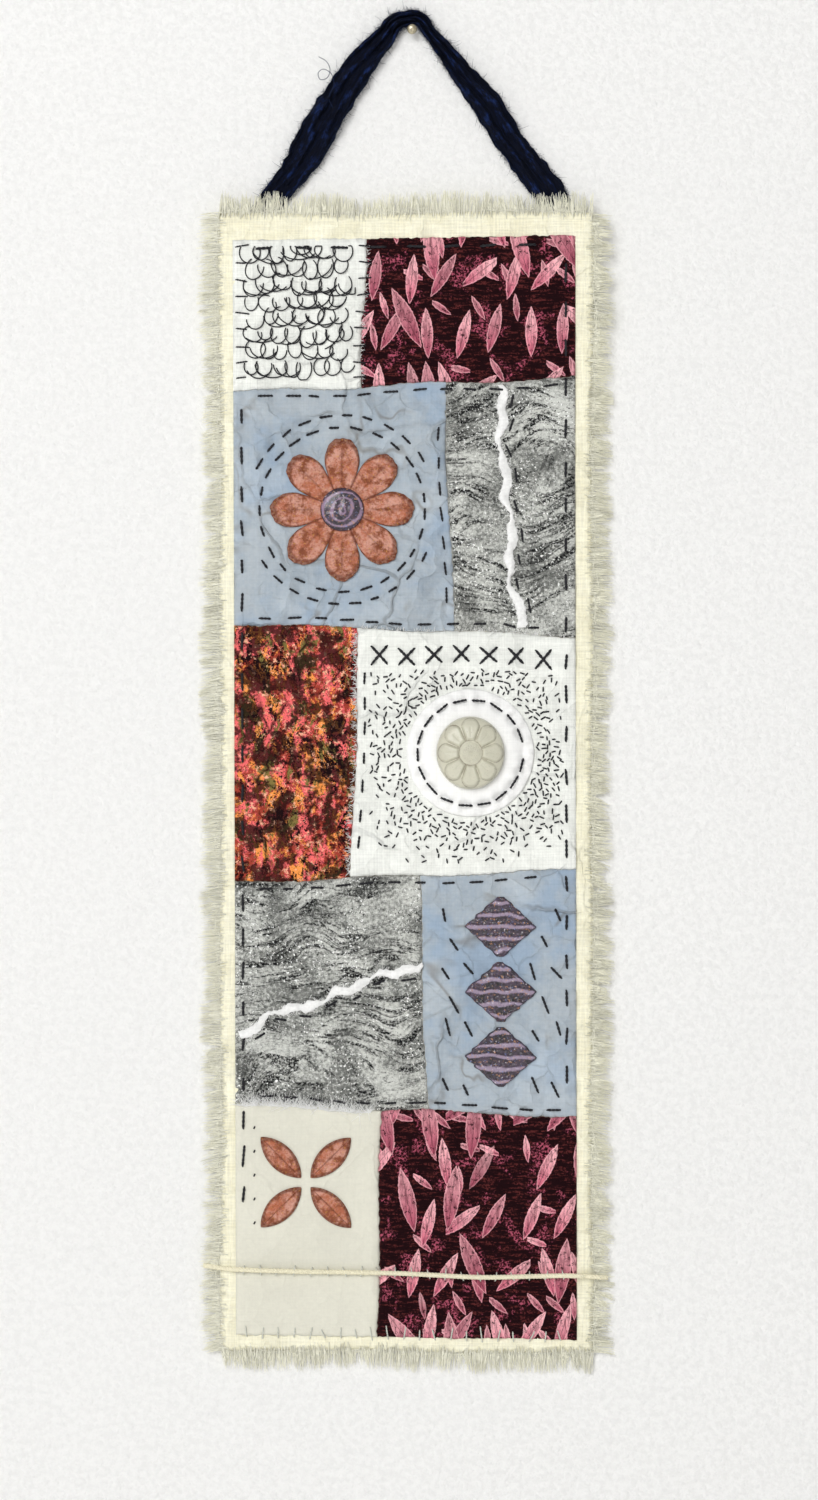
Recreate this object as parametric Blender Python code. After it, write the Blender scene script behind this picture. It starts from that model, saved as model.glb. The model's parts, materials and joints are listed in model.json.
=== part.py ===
"""Art quilt with its ribbon hanger and nail: a pieced and applied panel, 5 by 16 inches, on frayed cloth.

Metres, +Z up. The origin is the point where the nail enters the wall. The wall is the plane y = 0, the front
faces -Y, and "off the wall" below is a distance towards -Y. Places on the panel are u across from its left
edge and v up from its foot.
"""

import math
import random

import bmesh
import bpy
from mathutils import Vector

TAU = 2 * math.pi

# Sheets and the space between them
CLEAR = 0.00035
CLOTH_THICK = 0.0018
PATCH_THICK = 0.0010
APPLIED_THICK = 0.0010

# Backing cloth: corners (x, z) of its woven part, between the four fringes
CLOTH_CORNERS = {
    "low_left": (-0.0705, -0.4885),
    "low_right": (0.0668, -0.4899),
    "top_left": (-0.0713, -0.0690),
    "top_right": (0.0668, -0.0683),
}
# How the cut edges wander: depth, turns up an upright edge, turns along a level edge
EDGE_WANDER = (0.0004, 3.4, 1.5)
CLOTH_ROWS = 58
CLOTH_EDGE_CELL = 0.0045
CLOTH_INNER_COLUMNS = 9

# Fringes
FRINGE_REACH = 0.0072
STRIP_WIDTH = 0.0010
STRIP_THICK = 0.0011
STRAND_PITCH = 0.0041
STRAND_FILL = 0.66
STRAND_TIP = 0.45
STRAND_LEAN = 0.0012
STRAND_LIFT = 0.0007
STRAND_LENGTHS = (0.72, 1.06)

# Panel: corners (x, z), with the lean that its sides have
PANEL_WIDTH = 0.126
PANEL_HEIGHT = 0.406
PANEL_CORNERS = {
    "low_left": (-0.0650, -0.4829),
    "low_right": (0.0609, -0.4848),
    "top_left": (-0.0661, -0.0790),
    "top_right": (0.0602, -0.0772),
}
# How the seams wander: depth, length of a wave, turn from one row to the next
SEAM_WANDER = (0.0006, 0.061, 2.3)
PATCH_CELL = 0.0085

# Rows of patches from the foot up: left piece, right piece, height of the top seam at the left and at the
# right, and where the upright seam stands at its foot and at its head
PATCH_ROWS = [
    ("cream", "maroon", 0.086, 0.082, 0.052, 0.054),
    ("grey_low", "blue_low", 0.168, 0.173, 0.071, 0.068),
    ("rust", "muslin", 0.264, 0.259, 0.043, 0.046),
    ("blue_high", "grey_high", 0.350, 0.354, 0.081, 0.078),
    ("white_top", "berry_top", PANEL_HEIGHT, PANEL_HEIGHT, 0.047, 0.049),
]

# Piece: depth of its crumples, base colour, roughness
PATCH_LOOKS = {
    "cream": (0.0002, (0.72, 0.67, 0.54), 0.9),
    "maroon": (0.0002, (0.10, 0.03, 0.04), 0.8),
    "grey_low": (0.0003, (0.32, 0.33, 0.31), 0.85),
    "blue_low": (0.0007, (0.38, 0.44, 0.52), 0.85),
    "rust": (0.0002, (0.22, 0.06, 0.04), 0.8),
    "muslin": (0.0004, (0.76, 0.77, 0.74), 0.9),
    "blue_high": (0.0007, (0.38, 0.44, 0.52), 0.85),
    "grey_high": (0.0003, (0.32, 0.33, 0.31), 0.85),
    "white_top": (0.0004, (0.76, 0.77, 0.74), 0.9),
    "berry_top": (0.0002, (0.12, 0.03, 0.05), 0.8),
}

# Creases of the crumpled cloths: share, length across, length up, turn
CREASES = [
    (0.36, 0.047, 0.031, 0.0),
    (0.36, 0.036, -0.052, 0.7),
    (0.28, 0.090, 0.026, 2.0),
]
# The shares of a patch, from its left or right and from its foot or head, over which the creases die out
CREASE_RIM = (0.14, 0.12)

# The hang of the cloth: gentle waves (depth, length across, length down, turn) above flat rests on the wall,
# the lift over the ribbon's ends, and the puckers of the border
WAVE_REST = 0.00025
WAVES = [
    (0.00055, 0.190, 0.310, 0.4),
    (0.00040, -0.120, 0.170, 2.1),
    (0.00022, 0.085, -0.095, 1.0),
]
OVER_RIBBON = 0.0030
LIFT_HEAD = -0.092
LIFT_FOOT = -0.150
PUCKER_DEPTH = 0.0006
PUCKER_PITCH = 0.0150
PUCKER_REACH = 0.0062
# The puckers' pitch drifts: turn, over this length
PUCKER_DRIFT = (1.6, 0.110)

# Nail
NAIL_RADIUS = 0.0008
NAIL_HEAD_RADIUS = 0.0018
NAIL_DROOP = math.radians(13)
NAIL_SIDES = 9
# Along the nail from the wall: distance, radius
NAIL_PROFILE = [
    (0.0000, NAIL_RADIUS),
    (0.0046, NAIL_RADIUS),
    (0.0047, 0.85 * NAIL_HEAD_RADIUS),
    (0.0052, NAIL_HEAD_RADIUS),
    (0.0059, 0.85 * NAIL_HEAD_RADIUS),
    (0.0063, 0.45 * NAIL_HEAD_RADIUS),
]

# Ribbon, from its left end over the nail to its right end: x, z, width, thickness, middle off the wall
RIBBON = [
    (-0.0605, -0.0865, 0.0095, 0.0020, 0.0014),
    (-0.0585, -0.0780, 0.0098, 0.0021, 0.0014),
    (-0.0553, -0.0697, 0.0095, 0.0022, 0.0015),
    (-0.0504, -0.0617, 0.0092, 0.0022, 0.0015),
    (-0.0439, -0.0539, 0.0105, 0.0027, 0.0020),
    (-0.0388, -0.0462, 0.0127, 0.0030, 0.0026),
    (-0.0337, -0.0366, 0.0131, 0.0032, 0.0032),
    (-0.0277, -0.0270, 0.0120, 0.0032, 0.0035),
    (-0.0181, -0.0129, 0.0105, 0.0032, 0.0033),
    (-0.0106, -0.0041, 0.0078, 0.0034, 0.0029),
    (-0.0061, 0.0017, 0.0064, 0.0036, 0.0025),
    (-0.0006, 0.0036, 0.0058, 0.0038, 0.0023),
    (0.0036, 0.0026, 0.0050, 0.0038, 0.0023),
    (0.0064, -0.0018, 0.0046, 0.0036, 0.0024),
    (0.0114, -0.0078, 0.0062, 0.0034, 0.0027),
    (0.0175, -0.0159, 0.0079, 0.0032, 0.0031),
    (0.0281, -0.0292, 0.0109, 0.0032, 0.0034),
    (0.0369, -0.0432, 0.0104, 0.0030, 0.0027),
    (0.0439, -0.0521, 0.0110, 0.0027, 0.0020),
    (0.0506, -0.0606, 0.0116, 0.0022, 0.0015),
    (0.0553, -0.0690, 0.0108, 0.0022, 0.0015),
    (0.0580, -0.0775, 0.0104, 0.0021, 0.0014),
    (0.0592, -0.0865, 0.0098, 0.0020, 0.0014),
]
RIBBON_STEPS = 2
# Across the strip: place from edge to edge, share of the half thickness on the folds' crests and troughs
RIBBON_FOLDS = [(-0.66, 1.0), (-0.30, 0.52), (0.05, 1.0), (0.40, 0.55), (0.72, 0.95)]
# How far the folds wander across the half width, and their turn from section to section and from fold to fold
FOLD_DRIFT = (0.16, 0.55, 1.3)

# Cord: x, z along its route across the foot of the panel
CORD_RADIUS = 0.00095
CORD_ROUTE = [
    (-0.0768, -0.4572),
    (-0.0735, -0.4574),
    (-0.0661, -0.4582),
    (-0.0395, -0.4592),
    (-0.0055, -0.4599),
    (0.0240, -0.4613),
    (0.0450, -0.4610),
    (0.0580, -0.4608),
    (0.0690, -0.4615),
    (0.0722, -0.4619),
]
CORD_STEPS = 7
CORD_FRINGE_SPACE = 0.0072
# Where the cord steps down from the panel, inwards from its side, and where and how deep it dips past the strip
CORD_STEP = (-0.0035, -0.0005)
CORD_DIP = (0.0012, 0.0042)
CORD_DIP_DEPTH = 0.0016

# Applied shapes: middle on the panel (u, v) and sizes
FLOWER = {"middle": (0.040, 0.306), "radius": 0.0265, "petals": 8, "notch": 0.50}
FLOWER_CENTRE_RADIUS = 0.0080
FLOWER_CENTRE_DOME = 0.0010
PAD = {"middle": (0.087, 0.216), "radius": 0.0235, "crown": 0.0021, "flat": 0.62}
CABOCHON = {"half_width": 0.0125, "half_height": 0.0134, "wall": 0.0017, "dome": 0.0037}
# The daisy moulded in the button: petals, their relief, the radii where they rise and where they end, the eye
DAISY = {
    "petals": 8, "relief": 0.0007, "rise": (0.20, 0.45), "fall": (0.65, 0.95), "eye": 0.0006, "eye_rim": 0.3,
}
PEELS = {"middle": (0.026, 0.057), "count": 4, "half_length": 0.0105, "half_width": 0.0046, "inner": 0.0025}
PEEL_POINT = 0.7
LOZENGES = {"u": 0.098, "v": (0.104, 0.128, 0.152), "half_width": 0.0135, "half_height": 0.0110, "ridges": 5}
LOZENGE_RIDGE = 0.0007
LOZENGE_TIP = 0.0012

# Torn edges: the piece they lie on, from (u, v) to (u, v), width
TORN_EDGES = {
    "torn_edge_high": ((0.1045, 0.2620), (0.0975, 0.3515), 0.0058),
    "torn_edge_low": ((0.0010, 0.1130), (0.0690, 0.1390), 0.0054),
}
TORN_CELLS = 14
# Waves of the torn strips' middle and of their half width: depth, turns along the strip, turn
TORN_SWAY = [(0.0010, 2.3, 1.0), (0.0005, 5.1, 0.0)]
TORN_SWELL = [(0.0009, 3.7, 0.0), (0.0006, 7.3, 2.0)]

# Where the patches lie still, so that what is laid on them stays clear: (u, v, radius)
QUIET = [
    (*FLOWER["middle"], 0.028),
    (*PAD["middle"], 0.025),
    (*PEELS["middle"], 0.026),
    *((LOZENGES["u"], v, 0.016) for v in LOZENGES["v"]),
]
QUIET_EDGE = 0.012
QUIET_CORD = (0.012, 0.036)


def clear_scene():
    for thing in list(bpy.data.objects):
        bpy.data.objects.remove(thing, do_unlink=True)


def smooth(low, high, value):
    """0 at low, 1 at high, and an even curve between them."""
    t = min(max((value - low) / (high - low), 0.0), 1.0)
    return t * t * (3 - 2 * t)


def mix(a, b, t):
    return a + (b - a) * t


def within(corners, s, t):
    """The place (x, z) at share s across and t up the four corners."""
    return tuple(
        mix(mix(corners["low_left"][k], corners["low_right"][k], s),
            mix(corners["top_left"][k], corners["top_right"][k], s), t)
        for k in (0, 1)
    )


def on_panel(u, v):
    return within(PANEL_CORNERS, u / PANEL_WIDTH, v / PANEL_HEIGHT)


def on_cloth(s, t):
    """Place on the backing cloth, whose cut edges wander a little."""
    x, z = within(CLOTH_CORNERS, s, t)
    depth, upright_turns, level_turns = EDGE_WANDER
    return (
        x + depth * math.sin(TAU * upright_turns * t + 0.5) * (2 * s - 1),
        z + depth * math.sin(TAU * level_turns * s + 1.2) * (2 * t - 1),
    )


def waves(table, t):
    return sum(depth * math.sin(TAU * turns * t + turn) for depth, turns, turn in table)


def hang(x, z):
    """How far the back of the cloth stands off the wall."""
    wave = WAVE_REST
    for depth, across, down, turn in WAVES:
        wave += depth * math.sin(TAU * (x / across + z / down) + turn)
    left = CLOTH_CORNERS["low_left"][0]
    right = CLOTH_CORNERS["low_right"][0]
    inward = min(x - left, right - x)
    drift = PUCKER_DRIFT[0] * math.sin(TAU * z / PUCKER_DRIFT[1])
    pucker = PUCKER_DEPTH * (0.5 + 0.5 * math.sin(TAU * z / PUCKER_PITCH + drift))
    border = 1 - smooth(0, PUCKER_REACH, inward)
    return max(wave, 0) + pucker * border + OVER_RIBBON * smooth(LIFT_FOOT, LIFT_HEAD, z)


def stillness(u, v):
    """0 where the patches lie flat under something applied, 1 in the open."""
    share = 1.0
    for middle_u, middle_v, radius in QUIET:
        share = min(share, smooth(0, QUIET_EDGE, math.hypot(u - middle_u, v - middle_v) - radius))
    low, high = QUIET_CORD
    share = min(share, smooth(0, QUIET_EDGE, max(low - v, v - high)))
    for start, end, width in TORN_EDGES.values():
        a, b, p = Vector(start), Vector(end), Vector((u, v))
        along = min(max((p - a).dot(b - a) / (b - a).length_squared, 0), 1)
        share = min(share, smooth(0, QUIET_EDGE, (p - a.lerp(b, along)).length - 1.4 * width))
    return share


def crumple(u, v):
    """Soft creases in the thin cloths, from 0 to 1."""
    return 0.5 + 0.5 * sum(
        share * math.sin(TAU * (u / across + v / up) + turn) for share, across, up, turn in CREASES
    )


def on_patches(u, v):
    """How far the flat front of the patches stands off the wall."""
    return hang(*on_panel(u, v)) + CLOTH_THICK + CLEAR + PATCH_THICK


def material(name, colour, roughness, metallic=0.0):
    made = bpy.data.materials.new(name)
    made.use_nodes = True
    shader = made.node_tree.nodes["Principled BSDF"]
    shader.inputs["Base Color"].default_value = (*colour, 1)
    shader.inputs["Roughness"].default_value = roughness
    shader.inputs["Metallic"].default_value = metallic
    made.diffuse_color = (*colour, 1)
    return made


def finish(name, mesh, look):
    """Turns a bmesh into a named object with its faces pointing out."""
    bmesh.ops.recalc_face_normals(mesh, faces=mesh.faces)
    data = bpy.data.meshes.new(name)
    mesh.to_mesh(data)
    mesh.free()
    data.shade_smooth()
    data.materials.append(look)
    made = bpy.data.objects.new(name, data)
    bpy.context.scene.collection.objects.link(made)
    return made


def wall_in(mesh, front, back):
    """Joins two rims, point to point."""
    for i in range(len(front)):
        k = (i + 1) % len(front)
        mesh.faces.new((front[i], front[k], back[k], back[i]))


def sheet(name, point, columns, rows, look):
    """A closed sheet over shares s across and t up. point(s, t, side) gives its front, side 0, and its back."""
    mesh = bmesh.new()
    rims = []
    for side in (0, 1):
        grid = [[mesh.verts.new(point(s, t, side)) for s in columns] for t in rows]
        for low, high in zip(grid, grid[1:]):
            for i in range(len(columns) - 1):
                mesh.faces.new((low[i], low[i + 1], high[i + 1], high[i]))
        right = [row[-1] for row in grid[1:-1]]
        left = [row[0] for row in grid[-2:0:-1]]
        rims.append(grid[0] + right + grid[-1][::-1] + left)
    wall_in(mesh, *rims)
    return finish(name, mesh, look)


def even(count):
    return [i / count for i in range(count + 1)]


def disc(name, point, front_rings, back_rings, spokes, look):
    """A closed round piece. point(r, angle, side) gives its front and its back, r from 0 to 1 at the rim."""
    mesh = bmesh.new()
    rims = []
    for side, rings in enumerate((front_rings, back_rings)):
        middle = mesh.verts.new(point(0, 0, side))
        inner = None
        for ring in range(1, rings + 1):
            outer = [mesh.verts.new(point(ring / rings, TAU * k / spokes, side)) for k in range(spokes)]
            for k in range(spokes):
                n = (k + 1) % spokes
                if inner:
                    mesh.faces.new((inner[k], outer[k], outer[n], inner[n]))
                else:
                    mesh.faces.new((middle, outer[k], outer[n]))
            inner = outer
        rims.append(inner)
    wall_in(mesh, *rims)
    return finish(name, mesh, look)


def applied(name, middle, outline, thickness, look, rings=(2, 2), spokes=24, seat=0.0):
    """A shape laid on the patches. outline(angle) gives its rim from its middle, and thickness(r, du, dv) its
    own thickness. seat is the thickness of what lies under it."""
    def point(r, angle, side):
        du, dv = outline(angle)
        du, dv = r * du, r * dv
        u, v = middle[0] + du, middle[1] + dv
        off = on_patches(u, v) + seat + CLEAR + (0 if side else thickness(r, du, dv))
        x, z = on_panel(u, v)
        return x, -off, z
    return disc(name, point, *rings, spokes, look)


def backing_cloth():
    width = CLOTH_CORNERS["low_right"][0] - CLOTH_CORNERS["low_left"][0]
    edge = CLOTH_EDGE_CELL / width
    columns = [0, edge] + [mix(2 * edge, 1 - 2 * edge, s) for s in even(CLOTH_INNER_COLUMNS)] + [1 - edge, 1]

    def point(s, t, side):
        x, z = on_cloth(s, t)
        return x, -hang(x, z) - (0 if side else CLOTH_THICK), z
    look = material("cream cloth", (0.79, 0.76, 0.62), 0.9)
    return sheet("backing_cloth", point, columns, even(CLOTH_ROWS), look)


def fringe(name, edge, outward, length, seed, look):
    """A ravelled edge: a narrow strip along edge(share), outside the cloth, and the strands that it holds."""
    rng = random.Random(seed)
    bays = round(length / STRAND_PITCH / 2)
    pitch = 1 / (2 * bays)
    out = Vector((outward[0], 0, outward[1]))
    along = Vector((outward[1], 0, -outward[0]))
    route_low, route_high = cord_crossing(edge, outward)
    mesh = bmesh.new()

    def post(share, offset):
        """The front and the back point of the strip at a share of the edge and an offset outwards."""
        x, z = edge(share)
        x, z = x + out.x * offset, z + out.z * offset
        back = hang(x, z) + CLEAR
        return [mesh.verts.new((x, -back - depth, z)) for depth in (STRIP_THICK, 0)]

    def strand(first, second):
        """One strand on the strip's face between two posts, leaning its own way to a thin tip."""
        start = sum((v.co for v in first + second), Vector()) / 4
        wide = (second[0].co - first[0].co) * STRAND_TIP / 2
        reach = (FRINGE_REACH - STRIP_WIDTH - CLEAR) * rng.uniform(*STRAND_LENGTHS)
        lean = along * rng.uniform(-1, 1) * STRAND_LEAN
        lift = Vector((0, -rng.uniform(0, STRAND_LIFT), 0))
        tips = [mesh.verts.new(start + out * reach + lean + lift + way * wide) for way in (-1, 1)]
        mesh.faces.new((first[0], second[0], tips[1], tips[0]))
        mesh.faces.new((first[1], tips[0], tips[1], second[1]))
        mesh.faces.new((first[0], tips[0], first[1]))
        mesh.faces.new((second[0], second[1], tips[1]))

    inner = [post(2 * bay * pitch, CLEAR) for bay in range(bays + 1)]
    outer = []
    for cell in range(2 * bays):
        outer.append(post(cell * pitch, CLEAR + STRIP_WIDTH))
        outer.append(post((cell + STRAND_FILL) * pitch, CLEAR + STRIP_WIDTH))
    outer.append(post(1, CLEAR + STRIP_WIDTH))
    for bay in range(bays):
        rim = outer[4 * bay:4 * bay + 5]
        for side in (0, 1):
            mesh.faces.new([inner[bay][side], inner[bay + 1][side]] + [p[side] for p in reversed(rim)])
        mesh.faces.new((inner[bay][0], inner[bay + 1][0], inner[bay + 1][1], inner[bay][1]))
    for k, (first, second) in enumerate(zip(outer, outer[1:])):
        middle = (first[0].co + second[0].co).dot(along) / 2
        if k % 2 == 0 and not route_low < middle < route_high:
            strand(first, second)
        else:
            mesh.faces.new((first[0], second[0], second[1], first[1]))
    for end in (0, -1):
        mesh.faces.new((inner[end][0], outer[end][0], outer[end][1], inner[end][1]))
    return finish(name, mesh, look)


def cord_crossing(edge, outward):
    """The stretch of an upright edge, measured along it, that stays free of strands where the cord passes."""
    if not outward[0]:
        return 0, 0
    end = CORD_ROUTE[0] if outward[0] < 0 else CORD_ROUTE[-1]
    place = -outward[0] * end[1]
    return place - CORD_FRINGE_SPACE / 2, place + CORD_FRINGE_SPACE / 2


def fringes():
    look = material("ravelled threads", (0.74, 0.72, 0.61), 0.95)
    wide = CLOTH_CORNERS["top_right"][0] - CLOTH_CORNERS["top_left"][0]
    tall = CLOTH_CORNERS["top_left"][1] - CLOTH_CORNERS["low_left"][1]
    fringe("fringe_top", lambda share: on_cloth(share, 1), (0, 1), wide, 11, look)
    fringe("fringe_bottom", lambda share: on_cloth(1 - share, 0), (0, -1), wide, 12, look)
    fringe("fringe_left", lambda share: on_cloth(0, share), (-1, 0), tall, 13, look)
    fringe("fringe_right", lambda share: on_cloth(1, 1 - share), (1, 0), tall, 14, look)


def seam_height(row, u):
    """Height of the seam on top of a row, counted from 0. Row -1 is the foot of the panel."""
    if row < 0:
        return 0.0
    left, right = PATCH_ROWS[row][2:4]
    depth, length, turn = SEAM_WANDER
    wander = depth * math.sin(TAU * u / length + turn * row) if row < len(PATCH_ROWS) - 1 else 0
    return mix(left, right, u / PANEL_WIDTH) + wander


def patch(row, on_right):
    """One raw-edged piece of the panel, from seam to seam."""
    foot, head = PATCH_ROWS[row][4:6]
    name = PATCH_ROWS[row][1 if on_right else 0]
    depth, colour, roughness = PATCH_LOOKS[name]

    def split(t):
        return mix(foot, head, t) + SEAM_WANDER[0] * math.sin(TAU * t + SEAM_WANDER[2] * row)

    def spot(s, t):
        low_u = split(t) + CLEAR / 2 if on_right else 0
        high_u = PANEL_WIDTH if on_right else split(t) - CLEAR / 2
        u = mix(low_u, high_u, s)
        v = mix(seam_height(row - 1, u) + CLEAR / 2, seam_height(row, u) - CLEAR / 2, t)
        return u, v

    def point(s, t, side):
        u, v = spot(s, t)
        x, z = on_panel(u, v)
        rim = smooth(0, CREASE_RIM[0], min(s, 1 - s)) * smooth(0, CREASE_RIM[1], min(t, 1 - t))
        raised = 0 if side else PATCH_THICK + depth * rim * stillness(u, v) * crumple(u, v)
        return x, -hang(x, z) - CLOTH_THICK - CLEAR - raised, z

    wide = PANEL_WIDTH - foot if on_right else foot
    tall = seam_height(row, 0) - seam_height(row - 1, 0)
    columns, rows = (even(round(size / PATCH_CELL)) for size in (wide, tall))
    return sheet("patch_" + name, point, columns, rows, material(name + " cloth", colour, roughness))


def torn_edge(name, start, end, width, look):
    """A narrow torn strip of white cloth laid over a patch, its two sides wandering apart."""
    a, b = Vector(start), Vector(end)
    across = (b - a).orthogonal().normalized()

    def point(s, t, side):
        half = width / 2 + waves(TORN_SWELL, t)
        u, v = a.lerp(b, t) + across * (waves(TORN_SWAY, t) + (2 * s - 1) * half)
        x, z = on_panel(u, v)
        return x, -on_patches(u, v) - CLEAR - (0 if side else APPLIED_THICK), z
    return sheet(name, point, even(1), even(TORN_CELLS), look)


def flower():
    radius, petals, notch = FLOWER["radius"], FLOWER["petals"], FLOWER["notch"]

    def outline(angle):
        reach = radius * (1 - notch + notch * math.sqrt(abs(math.cos(petals * angle / 2))))
        return reach * math.cos(angle), reach * math.sin(angle)
    look = material("coral print", (0.50, 0.13, 0.08), 0.8)
    applied("flower_petals", FLOWER["middle"], outline, lambda r, du, dv: APPLIED_THICK, look,
            rings=(2, 2), spokes=6 * petals)

    def round_rim(angle):
        return FLOWER_CENTRE_RADIUS * math.cos(angle), FLOWER_CENTRE_RADIUS * math.sin(angle)

    def dome(r, du, dv):
        return APPLIED_THICK + FLOWER_CENTRE_DOME * math.sqrt(1 - r * r)
    look = material("purple cloth", (0.10, 0.04, 0.09), 0.3)
    applied("flower_centre", FLOWER["middle"], round_rim, dome, look,
            rings=(2, 1), spokes=16, seat=CLEAR + APPLIED_THICK)


def padded_round():
    radius, crown = PAD["radius"], PAD["crown"]

    def outline(angle):
        return radius * math.cos(angle), radius * math.sin(angle)

    def thickness(r, du, dv):
        """Full in its ring and flat in the middle, where the button sits."""
        return APPLIED_THICK + crown * (1 - smooth(PAD["flat"], 1.0, r))
    look = material("padded white cloth", (0.86, 0.86, 0.84), 0.9)
    applied("padded_round", PAD["middle"], outline, thickness, look, rings=(5, 3), spokes=28)


def cabochon():
    """A glazed button with a moulded daisy, seated on the padded round."""
    wide, tall = CABOCHON["half_width"], CABOCHON["half_height"]

    def outline(angle):
        return wide * math.cos(angle), tall * math.sin(angle)

    def thickness(r, du, dv):
        angle = math.atan2(dv, du)
        petal = DAISY["relief"] * (0.5 + 0.5 * math.cos(DAISY["petals"] * angle))
        ring = smooth(*DAISY["rise"], r) * (1 - smooth(*DAISY["fall"], r))
        eye = DAISY["eye"] * (1 - smooth(0.0, DAISY["eye_rim"], r))
        return CABOCHON["wall"] + CABOCHON["dome"] * math.sqrt(1 - r * r) + petal * ring + eye
    look = material("ivory glaze", (0.62, 0.60, 0.48), 0.35)
    applied("ceramic_cabochon", PAD["middle"], outline, thickness, look,
            rings=(6, 2), spokes=32, seat=CLEAR + APPLIED_THICK + PAD["crown"])


def peels():
    """Four pointed ovals set crosswise about a middle."""
    look = material("rust print", (0.45, 0.14, 0.07), 0.8)
    length, width = PEELS["half_length"], PEELS["half_width"]
    for k in range(PEELS["count"]):
        turn = TAU * (k + 0.5) / PEELS["count"]
        away = PEELS["inner"] + length
        middle = (PEELS["middle"][0] + away * math.cos(turn), PEELS["middle"][1] + away * math.sin(turn))

        def outline(angle, turn=turn):
            lengthwise = length * math.cos(angle)
            sideways = width * math.sin(angle) * abs(math.sin(angle)) ** PEEL_POINT
            return (lengthwise * math.cos(turn) - sideways * math.sin(turn),
                    lengthwise * math.sin(turn) + sideways * math.cos(turn))
        applied(f"peel_{k + 1}", middle, outline, lambda r, du, dv: APPLIED_THICK, look,
                rings=(1, 1), spokes=16)


def lozenges():
    """Diamonds of glossy ridged cloth, one above the other."""
    look = material("ridged purple cloth", (0.14, 0.07, 0.13), 0.3)
    wide, tall, ridges = LOZENGES["half_width"], LOZENGES["half_height"], LOZENGES["ridges"]
    for k, middle_v in enumerate(LOZENGES["v"]):
        def point(s, t, side, middle_v=middle_v):
            half = LOZENGE_TIP + (wide - LOZENGE_TIP) * (1 - abs(2 * t - 1))
            u = LOZENGES["u"] + (2 * s - 1) * half
            v = middle_v + (2 * t - 1) * tall
            x, z = on_panel(u, v)
            ridge = LOZENGE_RIDGE * (0.5 - 0.5 * math.cos(TAU * ridges * t))
            return x, -on_patches(u, v) - CLEAR - (0 if side else APPLIED_THICK + ridge), z
        sheet(f"lozenge_{k + 1}", point, even(3), even(2 * ridges), look)


def curve_through(points, steps):
    """A smooth curve through rows of numbers, with steps points to a stretch."""
    rows = [Vector(p) for p in points]
    rows = [2 * rows[0] - rows[1]] + rows + [2 * rows[-1] - rows[-2]]
    made = []
    for a, b, c, d in zip(rows, rows[1:], rows[2:], rows[3:]):
        for k in range(steps):
            t = k / steps
            made.append(0.5 * (2 * b + (c - a) * t + (2 * a - 5 * b + 4 * c - d) * t ** 2
                               + (3 * b - a - 3 * c + d) * t ** 3))
    return made + [rows[-2]]


def cord_off_wall(x, z):
    """The cord lies on the panel, steps down to the border and dips through the fringe at its ends."""
    inward = min(x - PANEL_CORNERS["low_left"][0], PANEL_CORNERS["low_right"][0] - x)
    on_border = hang(x, z) + CLOTH_THICK + CLEAR
    bed = on_border + (CLEAR + PATCH_THICK) * smooth(*CORD_STEP, inward)
    past = max(CLOTH_CORNERS["low_left"][0] - x, x - CLOTH_CORNERS["low_right"][0]) - STRIP_WIDTH - CLEAR
    return bed + CORD_RADIUS - CORD_DIP_DEPTH * smooth(*CORD_DIP, past)


def couched_cord():
    data = bpy.data.curves.new("couched_cord", "CURVE")
    data.dimensions = "3D"
    data.bevel_depth = CORD_RADIUS
    data.bevel_resolution = 2
    data.use_fill_caps = True
    route = curve_through([(x, 0, z) for x, z in CORD_ROUTE], CORD_STEPS)
    spline = data.splines.new("POLY")
    spline.points.add(len(route) - 1)
    for point, place in zip(spline.points, route):
        point.co = (place.x, -cord_off_wall(place.x, place.z), place.z, 1)
    made = bpy.data.objects.new("couched_cord", data)
    data.materials.append(material("cotton cord", (0.58, 0.50, 0.34), 0.9))
    bpy.context.scene.collection.objects.link(made)


def ribbon_section(row, before, after, along):
    """Ring of points of the torn strip: thin edges, crests and troughs that drift lengthwise."""
    x, z, width, off = row[0], row[1], row[2], row[4]
    thickness = row[3]
    way = Vector((after[0] - before[0], 0, after[1] - before[1])).normalized()
    across = Vector((-way.z, 0, way.x))
    middle = Vector((x, -off, z))
    towards = Vector((0, -1, 0))

    def at(place, height):
        return middle + across * (place * width / 2) + towards * (height * thickness / 2)
    reach, lengthwise, sideways = FOLD_DRIFT
    drift = [reach * math.sin(lengthwise * along + sideways * k) for k in range(len(RIBBON_FOLDS))]
    front = [at(place + shift, share) for (place, share), shift in zip(RIBBON_FOLDS, drift)]
    back = [at(place - shift, -(share + 1) / 2) for (place, share), shift in zip(RIBBON_FOLDS, drift)]
    return [at(-1, 0)] + front + [at(1, 0)] + back[::-1]


def hanger_ribbon():
    """The strip of cloth over the nail, lofted through its sections."""
    flat = curve_through([row[:3] for row in RIBBON], RIBBON_STEPS)
    deep = curve_through([(*row[3:], 0) for row in RIBBON], RIBBON_STEPS)
    rows = [(*f, d.x, d.y) for f, d in zip(flat, deep)]
    mesh = bmesh.new()
    rings = []
    for k, row in enumerate(rows):
        before, after = rows[max(k - 1, 0)], rows[min(k + 1, len(rows) - 1)]
        rings.append([mesh.verts.new(p) for p in ribbon_section(row, before, after, k)])
    for first, second in zip(rings, rings[1:]):
        wall_in(mesh, first, second)
    for ring in (rings[0], rings[-1]):
        mesh.faces.new(ring)
    return finish("hanger_ribbon", mesh, material("navy cloth", (0.01, 0.015, 0.045), 0.85))


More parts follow.
